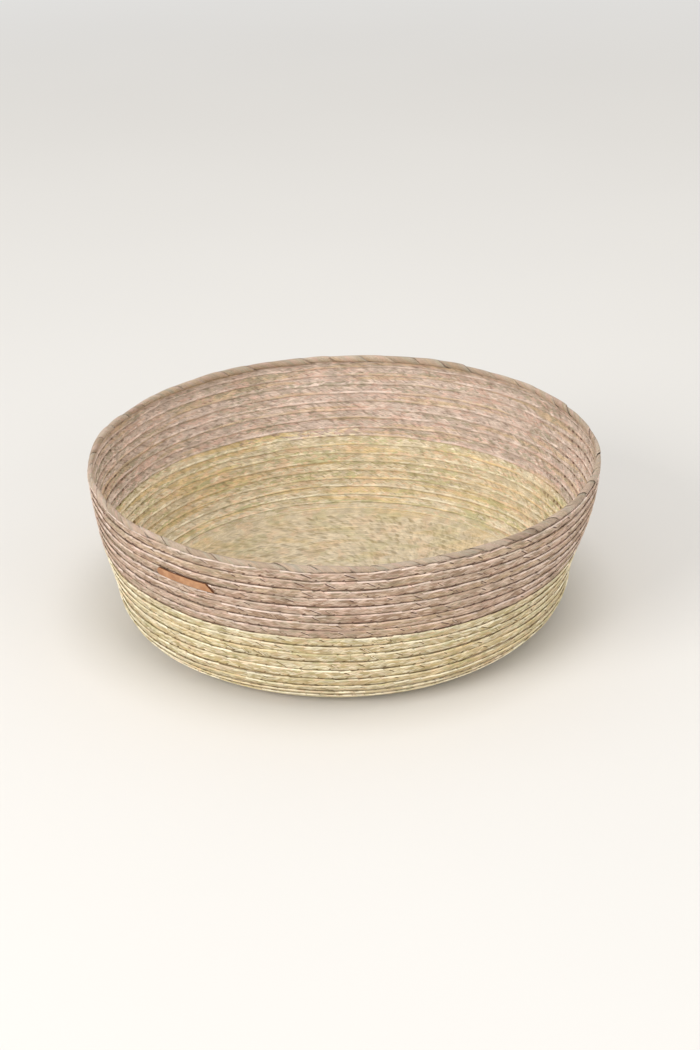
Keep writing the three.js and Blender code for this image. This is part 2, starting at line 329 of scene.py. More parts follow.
@dataclass(frozen=True)
class Spiral:
    """The rows: how far the plait has come after a number of turns, and its section there.

    Attributes:
        outline: The outer surface.
        pitch: From one row to the next, along the outline.
        row_gap: Gap between a lapped row and the one that it lies behind.
        base_gap: Gap between rows on the base; negative where their edges press together.
        thickness: Thickness of the plait.
        base_step: How much thicker the base's rows are at their inner edge, where they lap.
        trail_thin: How much thinner a lapped row is at its trailing edge.
        lap: How far a row reaches behind the one below.
        centre_hole: Radius of the hole in the middle of the base.
        start_azimuth: Where the spiral starts.
        top_rise: How far the last row reaches up behind the rim.
        lift_rows: Rows past the base over which the trailing edge lifts off the surface.
        lap_rows: Rows past the base over which the rows come to lap.
        samples: Points in the table of lengths.
    """

    outline: Outline
    pitch: float = 5.7 * MM
    row_gap: float = 0.12 * MM
    base_gap: float = -0.06 * MM
    thickness: float = 0.95 * MM
    base_step: float = 0.1 * MM
    trail_thin: float = 0.7 * MM
    lap: float = 1.2 * MM
    centre_hole: float = 0.255 * MM
    start_azimuth: float = math.radians(100)
    top_rise: float = 1.5 * MM
    lift_rows: float = 4.5
    lap_rows: float = 6
    samples: int = 20000

    @property
    def row_half(self) -> float:
        """Half the width of a row on the base."""
        return (self.pitch - self.base_gap) / 2

    @property
    def tilt(self) -> float:
        """Angle between a lapped row and the wall."""
        return math.asin((self.thickness + self.row_gap) / self.pitch)

    @property
    def width(self) -> float:
        """Width of the plait."""
        return (self.pitch + self.lap) / math.cos(self.tilt)

    @property
    def edge_along(self) -> float:
        """How far a lapped row's edge is long along the outline."""
        return self.thickness * math.sin(self.tilt)

    @property
    def edge_depth(self) -> float:
        """How far a lapped row's edge is deep."""
        return self.thickness * math.cos(self.tilt)

    @property
    def reach(self) -> float:
        """From the middle of a lapped row to its leading edge."""
        return (self.pitch + self.lap - self.edge_along) / 2

    @property
    def wall_depth(self) -> float:
        """Depth of the lapped wall, from its outer to its inner surface."""
        return self.width * math.sin(self.tilt) + self.edge_depth

    @property
    def start_arc(self) -> float:
        """Arc length of the middle of the first row."""
        return self.centre_hole + self.row_half

    @property
    def top_arc(self) -> float:
        """Arc length of the leading edge at the top of the wall."""
        edge_height = self.edge_depth * math.cos(self.outline.top_slope)
        return self.outline.length + self.top_rise - edge_height

    @property
    def taper_start(self) -> float:
        """Turns at which the last row starts to taper off."""
        return (self.top_arc - self.reach - self.edge_along - self.start_arc) / self.pitch

    @property
    def last_turns(self) -> float:
        """Turns at which the last row ends."""
        return self.taper_start + 1

    def whole_turns_to(self, arc: float) -> int:
        """Whole number of turns at which the spiral comes closest to an arc length."""
        return round((arc - self.start_arc) / self.pitch)

    def arc_at(self, turns: np.ndarray) -> np.ndarray:
        """Arc length of the middle of the row."""
        return self.start_arc + self.pitch * turns

    def azimuth_at(self, turns: np.ndarray) -> np.ndarray:
        """Azimuth, which runs clockwise seen from above."""
        return self.start_azimuth - TAU * turns

    def phase_at(self, azimuth: float) -> float:
        """Share of a turn at which each row passes an azimuth."""
        return ((self.start_azimuth - azimuth) / TAU) % 1.0

    def radius_at(self, turns: np.ndarray) -> np.ndarray:
        """Radius of the outer surface at the middle of the row."""
        table = self.outline.table
        return np.interp(self.arc_at(turns), table["arc"], table["r"])

    def rows_past_base(self, turns: np.ndarray) -> np.ndarray:
        """How many rows it is from the edge of the flat base."""
        return (self.arc_at(turns) - self.outline.flat_radius) / self.pitch

    def section(self, turns: np.ndarray) -> dict[str, np.ndarray]:
        """Works out the corners of the section as arc offset and depth.

        Args:
            turns: Numbers of turns.

        Returns:
            Arrays of shape (turns, 2): lead_outer, lead_inner, trail_inner and trail_outer.
        """
        past_base = self.rows_past_base(turns)
        lift = smooth(past_base, 0, self.lift_rows)
        lap = smooth(past_base, 0, self.lap_rows)
        lead = mix(self.row_half, self.reach, lap)
        edge = mix(0.0, self.edge_along, lap)
        trail = mix(-self.row_half, self.reach - self.pitch - self.lap, lap)
        lead_depth = mix(self.thickness, self.edge_depth, lift)
        trail_depth = mix(0.0, self.width * math.sin(self.tilt), lift)
        trail_inner = mix(self.thickness + self.base_step, self.wall_depth - self.trail_thin, lift)
        trim = np.maximum(0, turns - self.taper_start) * self.pitch
        sink = trim * math.tan(self.tilt)
        return {
            "lead_outer": np.stack([lead - trim, sink], -1),
            "lead_inner": np.stack([lead + edge - trim, lead_depth + sink], -1),
            "trail_inner": np.stack([trail + edge, trail_inner], -1),
            "trail_outer": np.stack([trail, trail_depth], -1),
        }

    def length_table(self) -> tuple[np.ndarray, np.ndarray]:
        """Length along the rows against turns.

        Returns:
            Numbers of turns, and the length of plait up to each.
        """
        turns = np.linspace(0, self.last_turns, self.samples)
        radius = self.radius_at(turns)
        steps = np.diff(turns) * TAU * (radius[1:] + radius[:-1]) / 2
        return turns, np.concatenate([[0.0], np.cumsum(steps)])

    def place(self, turns: np.ndarray, along: np.ndarray, depth: np.ndarray) -> np.ndarray:
        """Finds points on or in the rows.

        Args:
            turns: Numbers of turns.
            along: Arc offsets from the middle of the row.
            depth: Depths inside the outer surface.

        Returns:
            Points, with the last axis x, y and z.
        """
        r, z = self.outline.at_depth(self.arc_at(turns) + along, depth)
        azimuth = self.azimuth_at(turns)
        return np.stack([r * np.cos(azimuth), r * np.sin(azimuth), z], -1)

    def beside(self, turns: np.ndarray, offset: np.ndarray) -> np.ndarray:
        """Finds the numbers of turns at lengths along the row, anticlockwise seen from above."""
        return turns - offset / (TAU * self.radius_at(turns))

    def face_depth(self, along: np.ndarray, clear: np.ndarray) -> np.ndarray:
        """Depth of points at heights over the outer face of a lapped row."""
        return (self.reach - along) * math.tan(self.tilt) - clear / math.cos(self.tilt)


@dataclass(frozen=True)
class Plait:
    """The flat plait of leaf strands, over two and under two, so that they lie slantwise in bands.

    Attributes:
        strands: How many strands it has.
        lengthened: How much further it is from one strand to the next along the plait than across.
        seed: Seed of its random numbers.
        wobbles: Waves by which the strands stray along the plait: wavelength and size.
        sways: Waves by which they stray across it.
        fold_length: From one folded edge strand to the next.
        fold_waves: Waves by which those strands stray along the plait.
    """

    strands: int = 12
    lengthened: float = 3.0
    seed: int = 5
    wobbles: Waves = ((19.7 * MM, 0.55 * MM), (8.3 * MM, 0.3 * MM))
    sways: Waves = ((27.1 * MM, 0.3 * MM), (11.9 * MM, 0.18 * MM))
    fold_length: float = 12.5 * MM
    fold_waves: Waves = ((61 * MM, 7 * MM), (23.3 * MM, 2.6 * MM))

    def pitch_across(self, width: float) -> float:
        """From one strand to the next across the plait, for a plait of some width."""
        return 2 * width / self.strands

    def pitch_along(self, width: float) -> float:
        """From one strand to the next along the plait."""
        return self.lengthened * self.pitch_across(width)

    @staticmethod
    def waves(length: np.ndarray, waves: Waves) -> np.ndarray:
        """Adds up waves at lengths along the plait."""
        return sum(size * np.sin(TAU * length / wave) for wave, size in waves)


def add_mesh(
    name: str,
    points: np.ndarray,
    triangles: np.ndarray,
    maps: dict[str, np.ndarray] | None = None,
    flat: int = 0,
) -> bpy.types.Object:
    """Makes a mesh object of triangles, smooth shaded.

    Args:
        name: Name of the piece.
        points: Vertices, of shape (count, 3).
        triangles: Vertex numbers, of shape (count, 3).
        maps: UV maps by name, of shape (triangle corners, 2).
        flat: How many of the last triangles are shaded flat.

    Returns:
        The new object, linked to the scene.
    """
    mesh = bpy.data.meshes.new(name)
    corners = triangles.reshape(-1)
    mesh.vertices.add(len(points))
    mesh.vertices.foreach_set("co", points.astype(np.float32).ravel())
    mesh.loops.add(len(corners))
    mesh.loops.foreach_set("vertex_index", corners.astype(np.int32))
    mesh.polygons.add(len(triangles))
    mesh.polygons.foreach_set("loop_start", np.arange(0, len(corners), 3, dtype=np.int32))
    mesh.polygons.foreach_set("loop_total", np.full(len(triangles), 3, np.int32))
    mesh.update(calc_edges=True)
    for map_name, places in (maps or {}).items():
        layer = mesh.uv_layers.new(name=map_name)
        layer.uv.foreach_set("vector", places.astype(np.float32).ravel())
    mesh.polygons.foreach_set("use_smooth", np.arange(len(triangles)) < len(triangles) - flat)
    piece = bpy.data.objects.new(name, mesh)
    bpy.context.scene.collection.objects.link(piece)
    return piece


def volume(points: np.ndarray, triangles: np.ndarray) -> float:
    """Volume inside a closed mesh, negative where its faces point inwards."""
    a, b, c = (points[triangles[:, i]] for i in range(3))
    return float(np.einsum("ij,ij->", a, np.cross(b, c)) / 6)


@dataclass(frozen=True)
class Skin:
    """A closed mesh over a row of like rings.

    Attributes:
        rings: Points, of shape (rings, points in a ring, 3).
        across_from: Pattern coordinate across the piece at the start of each side of a ring.
        across_to: The same at the side's end.
        along: Pattern coordinate along the piece at each ring.
        loop: Whether the last ring joins the first one.
        folds: How many rows the bake map has, one under the other.
    """

    rings: np.ndarray
    across_from: np.ndarray
    across_to: np.ndarray
    along: np.ndarray
    loop: bool = False
    folds: int = 1

    def build(self, name: str) -> bpy.types.Object:
        """Makes the mesh object.

        Args:
            name: Name of the piece.

        Returns:
            The new object.
        """
        count, sides = self.rings.shape[:2]
        spans = count if self.loop else count - 1
        i, j = np.meshgrid(np.arange(spans), np.arange(sides), indexing="ij")
        after_i, after_j = (i + 1) % count, (j + 1) % sides
        ring, next_ring = i * sides, after_i * sides
        quad = np.stack([ring + j, next_ring + j, next_ring + after_j, ring + after_j], -1)
        along = np.append(self.along, 2 * self.along[-1] - self.along[-2])
        u = np.stack([along[i], along[i + 1], along[i + 1], along[i]], -1)
        start, end = self.across_from[j], self.across_to[j]
        v = np.stack([start, start, end, end], -1)
        bake_u, bake_v = self.bake_places(i, j, spans, sides)
        halves = [0, 1, 2, 0, 2, 3]
        triangles = quad[..., halves].reshape(-1, 3)
        pattern = np.stack([u[..., halves], v[..., halves]], -1).reshape(-1, 2)
        bake = np.stack([bake_u[..., halves], bake_v[..., halves]], -1).reshape(-1, 2)
        fan = np.arange(1, sides - 1)
        if not self.loop:
            first = np.stack([np.zeros_like(fan), fan + 1, fan], -1)
            last = (count - 1) * sides + first[:, ::-1]
            triangles = np.concatenate([triangles, first, last])
            cap = np.zeros((2 * len(fan) * 3, 2))
            turn = TAU * np.concatenate([first, first[:, ::-1]]).reshape(-1) / sides
            pattern = np.concatenate([pattern, cap + [self.along[0], self.across_from[0]]])
            spot = CAP_MIDDLE + CAP_RADIUS * np.stack([np.cos(turn), np.sin(turn)], -1)
            bake = np.concatenate([bake, spot])
        points = self.rings.reshape(-1, 3)
        if volume(points, triangles) < 0:
            triangles = triangles[:, ::-1]
            pattern = pattern.reshape(-1, 3, 2)[:, ::-1].reshape(-1, 2)
            bake = bake.reshape(-1, 3, 2)[:, ::-1].reshape(-1, 2)
        caps = 0 if self.loop else 2 * len(fan)
        return add_mesh(name, points, triangles, {PLAIT_MAP: pattern, BAKE_MAP: bake}, caps)

    def bake_places(
        self, i: np.ndarray, j: np.ndarray, spans: int, sides: int
    ) -> tuple[np.ndarray, np.ndarray]:
        """Lays the sides out in rows, one under the other, for the bake map.

        Args:
            i: Ring number of each side.
            j: Number of each side in its ring.
            spans: How many rings have a next one.
            sides: Sides of a ring.

        Returns:
            Places across and up the map, for the four corners of each side.
        """
        row_length = math.ceil(spans / self.folds)
        row, place = i // row_length, i % row_length
        u0, u1 = place / row_length * BAKE_USED, (place + 1) / row_length * BAKE_USED
        height = BAKE_USED / self.folds
        v0 = (row + BAKE_MARGIN + (1 - 2 * BAKE_MARGIN) * j / sides) * height
        v1 = (row + BAKE_MARGIN + (1 - 2 * BAKE_MARGIN) * (j + 1) / sides) * height
        return np.stack([u0, u1, u1, u0], -1), np.stack([v0, v0, v1, v1], -1)


class Parts:
    """Many small closed skins that are joined in one mesh.

    Attributes:
        points: Vertices of each skin.
        triangles: Vertex numbers of each skin's triangles.
        places: Places of their corners on the pattern map.
        count: How many vertices there are so far.
    """

    # Between rings and between sides on the pattern map, in millimetres
    RING_STEP = 0.7
    SIDE_STEP = 0.4

    def __init__(self) -> None:
        """Starts with none."""
        self.points: list[np.ndarray] = []
        self.triangles: list[np.ndarray] = []
        self.places: list[np.ndarray] = []
        self.count = 0

    def add(self, rings: np.ndarray, along: float, across: float) -> None:
        """Adds a skin over a row of like rings.

        Args:
            rings: Points, of shape (rings, points in a ring, 3).
            along: Pattern coordinate along the leaf where it starts.
            across: Pattern coordinate across the leaf.
        """
        count, sides = rings.shape[:2]
        i, j = np.meshgrid(np.arange(count - 1), np.arange(sides), indexing="ij")
        a, b = i * sides + j, i * sides + (j + 1) % sides
        faces = np.stack([a, a + sides, b, b, a + sides, b + sides], -1).reshape(-1, 3)
        fan = np.arange(1, sides - 1)
        cap = np.stack([np.zeros_like(fan), fan, fan + 1], -1)
        faces = np.concatenate([faces, cap, (count - 1) * sides + cap[:, ::-1]])
        points = rings.reshape(-1, 3)
        if volume(points - points.mean(0), faces) < 0:
            faces = faces[:, ::-1]
        u = along + np.repeat(np.arange(count), sides) * self.RING_STEP
        v = across + np.tile(np.arange(sides), count) * self.SIDE_STEP
        self.points.append(points)
        self.triangles.append(faces + self.count)
        self.places.append(np.stack([u, v], -1)[faces.reshape(-1)])
        self.count += len(points)

    def build(self, name: str, shape: HandmadeShape) -> bpy.types.Object:
        """Makes the mesh object, moved to the hand-made shape.

        Args:
            name: Name of the piece.
            shape: The basket's hand-made shape.

        Returns:
            The new object.
        """
        points = shape.settle(np.concatenate(self.points))
        maps = {PLAIT_MAP: np.concatenate(self.places)}
        return add_mesh(name, points, np.concatenate(self.triangles), maps)


class Graph:
    """A node tree written as expressions: numbers and sockets go in, and sockets come out.

    Attributes:
        tree: The node tree.
    """

    def __init__(self, tree: bpy.types.NodeTree) -> None:
        """Keeps the tree that the nodes go into."""
        self.tree = tree

    def add(self, kind: str, feeds: dict | None = None, **settings: object) -> bpy.types.Node:
        """Adds a node.

        Args:
            kind: Its type.
            feeds: What its inputs take, by their names or numbers.
            **settings: Its properties.

        Returns:
            The node.
        """
        node = self.tree.nodes.new(kind)
        for name, value in settings.items():
            setattr(node, name, value)
        for key, value in (feeds or {}).items():
            self.feed(node.inputs[key], value)
        return node

    def feed(self, socket: Socket, value: object) -> None:
        """Links a socket, or sets its value.

        Args:
            socket: The node's input.
            value: Another node's output, or a value.
        """
        if isinstance(value, Socket):
            self.tree.links.new(value, socket)
        else:
            socket.default_value = value

    def math(self, operation: str, *values: object) -> Socket:
        """Works out a number by one of the Math node's operations."""
        return self.add("ShaderNodeMath", dict(enumerate(values)), operation=operation).outputs[0]

    def plus(self, first: object, second: object) -> Socket:
        """Adds two numbers."""
        return self.math("ADD", first, second)

    def minus(self, first: object, second: object) -> Socket:
        """Takes the second number from the first."""
        return self.math("SUBTRACT", first, second)

    def times(self, first: object, second: object) -> Socket:
        """Multiplies two numbers."""
        return self.math("MULTIPLY", first, second)

    def over(self, first: object, second: object) -> Socket:
        """Divides the first number by the second."""
        return self.math("DIVIDE", first, second)

    def most(self, first: object, second: object) -> Socket:
        """Takes the larger of two numbers."""
        return self.math("MAXIMUM", first, second)

    def least(self, first: object, second: object) -> Socket:
        """Takes the smaller of two numbers."""
        return self.math("MINIMUM", first, second)

    def floor(self, value: object) -> Socket:
        """Takes the whole part of a number, rounded down."""
        return self.math("FLOOR", value)

    def fract(self, value: object) -> Socket:
        """Takes what is left of a number over its whole part."""
        return self.math("FRACT", value)

    def size(self, value: object) -> Socket:
        """Takes a number without its sign."""
        return self.math("ABSOLUTE", value)

    def pick(self, share: object, first: object, second: object) -> Socket:
        """Blends two numbers by a share of the second."""
        feeds = {0: share, 2: first, 3: second}
        return self.add("ShaderNodeMix", feeds, data_type="FLOAT").outputs[0]

    def tint(self, share: object, first: object, second: object, mode: str = "MIX") -> Socket:
        """Blends two colours by a share of the second, in one of the Mix node's blend types."""
        feeds = {0: share, 6: first, 7: second}
        return self.add("ShaderNodeMix", feeds, data_type="RGBA", blend_type=mode).outputs[2]

    def scaled(self, colour: object, factor: object) -> Socket:
        """Multiplies a colour by a number."""
        return self.tint(1.0, colour, self.vector(factor, factor, factor), "MULTIPLY")

    def step(self, value: object, low: float, high: float) -> Socket:
        """Rises smoothly from 0 at low to 1 at high; low may be the higher one.

        Args:
            value: Where to read it.
            low: Value at which it is 0.
            high: Value at which it is 1.

        Returns:
            The share at the value.
        """
        feeds = {0: value, 1: min(low, high), 2: max(low, high)}
        share = self.add("ShaderNodeMapRange", feeds, interpolation_type="SMOOTHSTEP").outputs[0]
        return share if low < high else self.minus(1.0, share)

    def vector(self, x: object, y: object, z: object = 0.0) -> Socket:
        """Joins three numbers into a vector."""
        return self.add("ShaderNodeCombineXYZ", {0: x, 1: y, 2: z}).outputs[0]

    def split(self, vector: object) -> tuple[Socket, ...]:
        """Takes a vector apart into its three numbers."""
        return tuple(self.add("ShaderNodeSeparateXYZ", {0: vector}).outputs)

    def object_place(self) -> Socket:
        """Reads the place on the object, in metres."""
        return self.add("ShaderNodeTexCoord").outputs["Object"]

    def noise(self, vector: object, scale: float = 1.0, detail: float = 2.0) -> Socket:
        """Reads smooth noise, around one half, with some finer layers as detail."""
        feeds = {"Vector": vector, "Scale": scale, "Detail": detail}
        return self.add("ShaderNodeTexNoise", feeds, noise_dimensions="3D").outputs["Fac"]

    def cloud(self, x: object, y: object, z: object = 0.0, detail: float = 1.0) -> Socket:
        """Reads smooth noise at a place given by its numbers."""
        return self.noise(self.vector(x, y, z), 1.0, detail)

    def random(self, x: object, y: object = 0.0, z: object = 0.0) -> Socket:
        """Reads a number from 0 to 1 that is random for each set of whole numbers."""
        feeds = {"Vector": self.vector(x, y, z)}
        return self.add("ShaderNodeTexWhiteNoise", feeds, noise_dimensions="3D").outputs["Value"]

    def group(self, tree: bpy.types.NodeTree, **values: object) -> bpy.types.Node:
        """Places a node group, with values for its inputs by name."""
        return self.add("ShaderNodeGroup", values, node_tree=tree)


class GroupGraph(Graph):
    """A node group with named inputs and outputs.

    Attributes:
        given: The group's inputs, as sockets to read.
        result: The group's outputs, as sockets to feed.
    """

    def __init__(self, name: str, inputs: dict[str, object], outputs: dict[str, str]) -> None:
        """Makes the group.

        Args:
            name: Its name.
            inputs: Each input's name and value, a number or a colour.
            outputs: Each output's name and socket type.
        """
        tree = bpy.data.node_groups.new(name, "ShaderNodeTree")
        for label, value in inputs.items():
            kind = "NodeSocketColor" if isinstance(value, tuple) else "NodeSocketFloat"
            socket = tree.interface.new_socket(name=label, in_out="INPUT", socket_type=kind)
            socket.default_value = value
        for label, kind in outputs.items():
            tree.interface.new_socket(name=label, in_out="OUTPUT", socket_type=kind)
        super().__init__(tree)
        self.given = self.add("NodeGroupInput").outputs
        self.result = self.add("NodeGroupOutput").inputs


class PlaitPattern(GroupGraph):
    """The node group that finds the strand on top at each place of a plait, in millimetres.

    Attributes:
        plait: The plait's strands.
        width: Width of the plait, in metres.
        along: Place along the plait.
        across: Place across it, which is negative on the inner face.
        depth_in: Distance from the row's leading edge.
        outwards: 1 on the outer face, 0 on the inner one.
        lip: 1 on the folded edges, which are painted paler, partly as a painted highlight.
    """

    # In millimetres; a crevice's pair is the distances from the edge where its painted shade is
    # lost and is full
    STRAND_LIFE = 240.0
    STRAND_STAGGER = 53.0
    FOLD_SLANT = 2.2
    HOLE_SPACING = 7.5
    SLIT_SPACING = 19.0
    INNER_CREVICE = (3.1, 2.2)
    OUTER_CREVICE = (5.35, 5.6)

    def __init__(self, plait: Plait, width: float) -> None:
        """Makes the group, with numbers for each part of the pattern as its outputs.

        Args:
            plait: The plait's strands.
            width: Width of the plait, in metres.
        """
        names = (
            "Tone", "Strand", "Rise", "Gap", "Fibre", "Lip", "Fleck", "Inner", "Crevice shade",
            "Hole", "Slit shadow", "Stub", "Streak",
        )
        inputs = {"Along": 0.0, "Across": 0.0, "Lapped": 1.0}
        super().__init__("Plait pattern", inputs, dict.fromkeys(names, "NodeSocketFloat"))
        self.plait, self.width = plait, width
        self.along, self.across = self.given["Along"], self.given["Across"]
        self.depth_in = self.size(self.across)
        self.outwards = self.math("GREATER_THAN", self.across, 0.0)
        # On the inner face the trailing edge is painted light as well: a painted highlight on the
        # folded edge.
        trail_highlight = self.step(self.minus(width / MM, self.depth_in), 1.5, 1.0)
        trail_highlight = self.pick(self.outwards, trail_highlight, 0.0)
        self.lip = self.most(self.step(self.depth_in, 0.85, 0.55), trail_highlight)
        results = {"Inner": self.minus(1.0, self.outwards), "Crevice shade": self.crevices()}
        results["Hole"] = self.times(self.needle_holes(), self.pick(self.outwards, 0.3, 1.0))
        for part in (results, self.strands(), self.markings(), self.strand_ends_and_shadows()):
            for name, value in part.items():
                self.feed(self.result[name], value)

    def waved(self, place: object, waves: Waves) -> Socket:
        """Adds waves along the plait to a place.

        Args:
            place: What the waves are added to.
            waves: Each one's wavelength and size.

        Returns:
            The place with the waves.
        """
        for wave, size in waves:
            swing = self.math("SINE", self.times(self.along, TAU * MM / wave))
            place = self.plus(place, self.times(swing, size / MM))
        return place

    def weave(self) -> dict[str, Socket]:
        """Finds the strand on top, over two and under two, and the place on it.

        Returns:
            The strand's number, the place beside and along it, the gaps to its sides and ends, and
            random tones of the whole strand and of the part that shows.
        """
        pitch_along = self.plait.pitch_along(self.width) / MM
        pitch_across = self.plait.pitch_across(self.width) / MM
        far_along = self.over(self.waved(self.along, self.plait.wobbles), pitch_along)
        far_across = self.over(self.waved(self.across, self.plait.sways), pitch_across)
        one, other = self.plus(far_along, far_across), self.minus(far_along, far_across)
        cell_one, cell_other = self.floor(one), self.floor(other)
        apart = self.math("FLOORED_MODULO", self.minus(cell_one, cell_other), 4.0)
        parity = self.math("GREATER_THAN", apart, 1.5)
        own = self.pick(parity, cell_one, cell_other)
        beside = self.pick(parity, self.fract(one), self.fract(other))
        since_one = self.plus(self.minus(other, cell_one), 1.0)
        since_other = self.minus(self.minus(one, cell_other), 2.0)
        since = self.over(self.pick(parity, since_one, since_other), 4.0)
        ahead = self.times(self.fract(since), 4.0)
        strand = self.math("FLOORED_MODULO", own, float(self.plait.strands))
        staggered = self.plus(self.along, self.times(strand, self.STRAND_STAGGER))
        piece = self.floor(self.over(staggered, self.STRAND_LIFE))
        return {
            "own": own,
            "beside": beside,
            "far": self.pick(parity, other, one),
            "side_gap": self.least(beside, self.minus(1.0, beside)),
            "end_gap": self.least(ahead, self.minus(2.0, ahead)),
            "strand_tone": self.random(strand, piece, 1.0),
            "cell_tone": self.random(own, self.floor(since), self.plus(parity, 2.0)),
        }

    def strands(self) -> dict[str, Socket]:
        """Works out the woven strands between the folded edges, and those edges.

        Returns:
            The outputs Tone, Strand, Rise, Gap, Fibre and Lip.
        """
        lip, woven = self.lip, self.weave()
        side_gap, end_gap, cell_tone = woven["side_gap"], woven["end_gap"], woven["cell_tone"]
        fold_place = self.waved(self.along, self.plait.fold_waves)
        fold_place = self.plus(fold_place, self.times(self.depth_in, self.FOLD_SLANT))
        fold_place = self.over(fold_place, self.plait.fold_length / MM)
        fold_share = self.fract(fold_place)
        fold_gap = self.least(fold_share, self.minus(1.0, fold_share))
        fold_tone = self.random(self.floor(fold_place), 7.0, 3.0)
        woven_tone = self.step(self.pick(0.6, woven["strand_tone"], cell_tone), 0.25, 0.75)
        ends = self.pick(self.step(end_gap, 0.0, 0.5), 0.3, 1.0)
        woven_rise = self.times(self.step(side_gap, 0.0, 0.35), ends)
        corner = self.times(self.step(side_gap, 0.4, 0.1), self.step(end_gap, 0.34, 0.1))
        corner = self.times(corner, self.step(cell_tone, 0.5, 0.8))
        corner = self.times(corner, self.pick(self.outwards, 0.4, 1.0))
        side_line = self.step(side_gap, 0.22, 0.04)
        side_line = self.times(side_line, self.pick(self.outwards, 0.15, 0.6))
        fold_line = self.times(self.step(fold_gap, 0.04, 0.015), fold_tone)
        beside, far = self.times(woven["beside"], 9.0), self.times(woven["far"], 0.9)
        grain = self.noise(self.vector(beside, far, woven["own"]))
        fold_grain = self.vector(self.times(self.across, 5.0), self.times(self.along, 0.25), 3.0)
        # The folded edges are lighter in stretches along the row, partly as a painted highlight.
        highlight_stretches = self.times(self.cloud(self.over(self.along, 34.0), 8.0), fold_tone)
        return {
            "Tone": self.pick(lip, woven_tone, fold_tone),
            "Strand": woven["strand_tone"],
            "Rise": self.pick(lip, woven_rise, self.step(fold_gap, 0.0, 0.04)),
            "Gap": self.pick(lip, self.most(corner, side_line), fold_line),
            "Fibre": self.pick(lip, grain, self.noise(fold_grain)),
            "Lip": self.times(lip, self.pick(self.step(highlight_stretches, 0.05, 0.4), 0.2, 1.0)),
        }

    def markings(self) -> dict[str, Socket]:
        """Works out the dark flecks and the slanting streaks of greyer leaf.

        Returns:
            The outputs Fleck and Streak.
        """
        lapped = self.given["Lapped"]
        cosine, sine = self.pick(lapped, 0.5, 0.87), self.pick(lapped, 0.87, 0.5)
        long_way = self.plus(self.times(self.along, cosine), self.times(self.depth_in, sine))
        short_way = self.minus(self.times(self.depth_in, cosine), self.times(self.along, sine))
        fleck_long = self.over(long_way, self.pick(lapped, 11.0, 5.5))
        fleck_short = self.over(short_way, self.pick(lapped, 3.4, 1.7))
        fine = self.plus(self.cloud(fleck_long, fleck_short, 5.0), self.pick(lapped, 0.04, 0.0))
        crowded = self.times(self.cloud(self.over(self.along, 45.0), 2.0), 0.35)
        fleck = self.step(self.plus(fine, crowded), 0.72, 0.88)
        fleck = self.times(fleck, self.pick(self.outwards, 1.0, self.pick(lapped, 1.0, 0.6)))
        streak = self.cloud(self.over(long_way, 17.0), self.over(short_way, 3.4), 7.0, 2.0)
        streak = self.step(streak, 0.46, 0.72)
        return {
            "Fleck": self.times(fleck, self.minus(1.0, self.lip)),
            "Streak": self.times(streak, self.pick(self.outwards, 1.0, 0.3)),
        }

    def crevices(self) -> Socket:
        """Finds the crevices between the rows and paints shade into them, broken up along the row
        by noise.

        Returns:
            The mask of painted shade, 1 in a crevice.
        """
        outer_shade_breaks = self.step(self.cloud(self.over(self.along, 7.0), 4.0, detail=2.0), 0.3, 0.62)
        inner_shade_breaks = self.step(self.cloud(self.over(self.along, 4.5), 12.0), 0.48, 0.6)
        inner, outer = (
            self.times(self.step(self.depth_in, *ends), self.pick(drawn, low, 1.0))
            for ends, drawn, low in (
                (self.INNER_CREVICE, inner_shade_breaks, 0.35),
                (self.OUTER_CREVICE, outer_shade_breaks, 0.45),
            )
        )
        return self.pick(self.outwards, inner, outer)

    def strand_ends_and_shadows(self) -> dict[str, Socket]:
        """Finds the slanting slits where a new strand was laid in, painted dark as the shadow of
        its raised end, and the strand beside each.

        Returns:
            The outputs Slit and Stub.
        """
        count = self.floor(self.over(self.along, self.SLIT_SPACING))
        start = self.plus(self.times(self.random(count, 21.0), self.SLIT_SPACING - 10.0), 9.0)
        middle = self.plus(self.times(count, self.SLIT_SPACING), start)
        back = self.minus(middle, self.along)
        share = self.over(back, self.plus(2.2, self.times(self.random(count, 22.0), 4.6)))
        steep = self.plus(0.4, self.times(self.random(count, 23.0), 0.35))
        off = self.minus(self.minus(self.depth_in, 0.9), self.times(back, steep))
        inside = self.times(self.step(share, -0.05, 0.1), self.step(share, 1.0, 0.8))
        inside = self.times(inside, self.step(self.random(count, 24.0), 0.35, 0.55))
        slit = self.step(self.size(off), 0.55, 0.28)
        stub = self.step(self.size(self.plus(off, 0.75)), 0.5, 0.35)
        masks = {"Slit shadow": self.times(inside, slit), "Stub": self.times(inside, stub)}
        return {name: self.times(mask, self.outwards) for name, mask in masks.items()}

    def needle_holes(self) -> Socket:
        """Finds the holes that the needle left along the lower part of each row.

        Returns:
            The mask, 1 in a hole.
        """
        count = self.floor(self.over(self.along, self.HOLE_SPACING))
        shift = self.times(self.random(count, 11.0), self.HOLE_SPACING - 2.5)
        middle = self.plus(self.times(count, self.HOLE_SPACING), self.plus(shift, 1.0))
        level = self.plus(5.0, self.times(self.random(count, 12.0), 0.5))
        ahead = self.minus(self.along, middle)
        slanted = self.minus(self.minus(self.depth_in, level), self.times(ahead, 0.35))
        right = self.over(ahead, self.plus(0.5, self.times(self.random(count, 14.0), 0.7)))
        down = self.over(slanted, 0.45)
        spread = self.math("SQRT", self.plus(self.times(right, right), self.times(down, down)))
        shown = self.step(self.random(count, 13.0), 0.35, 0.4)
        return self.times(self.step(spread, 1.3, 0.6), shown)


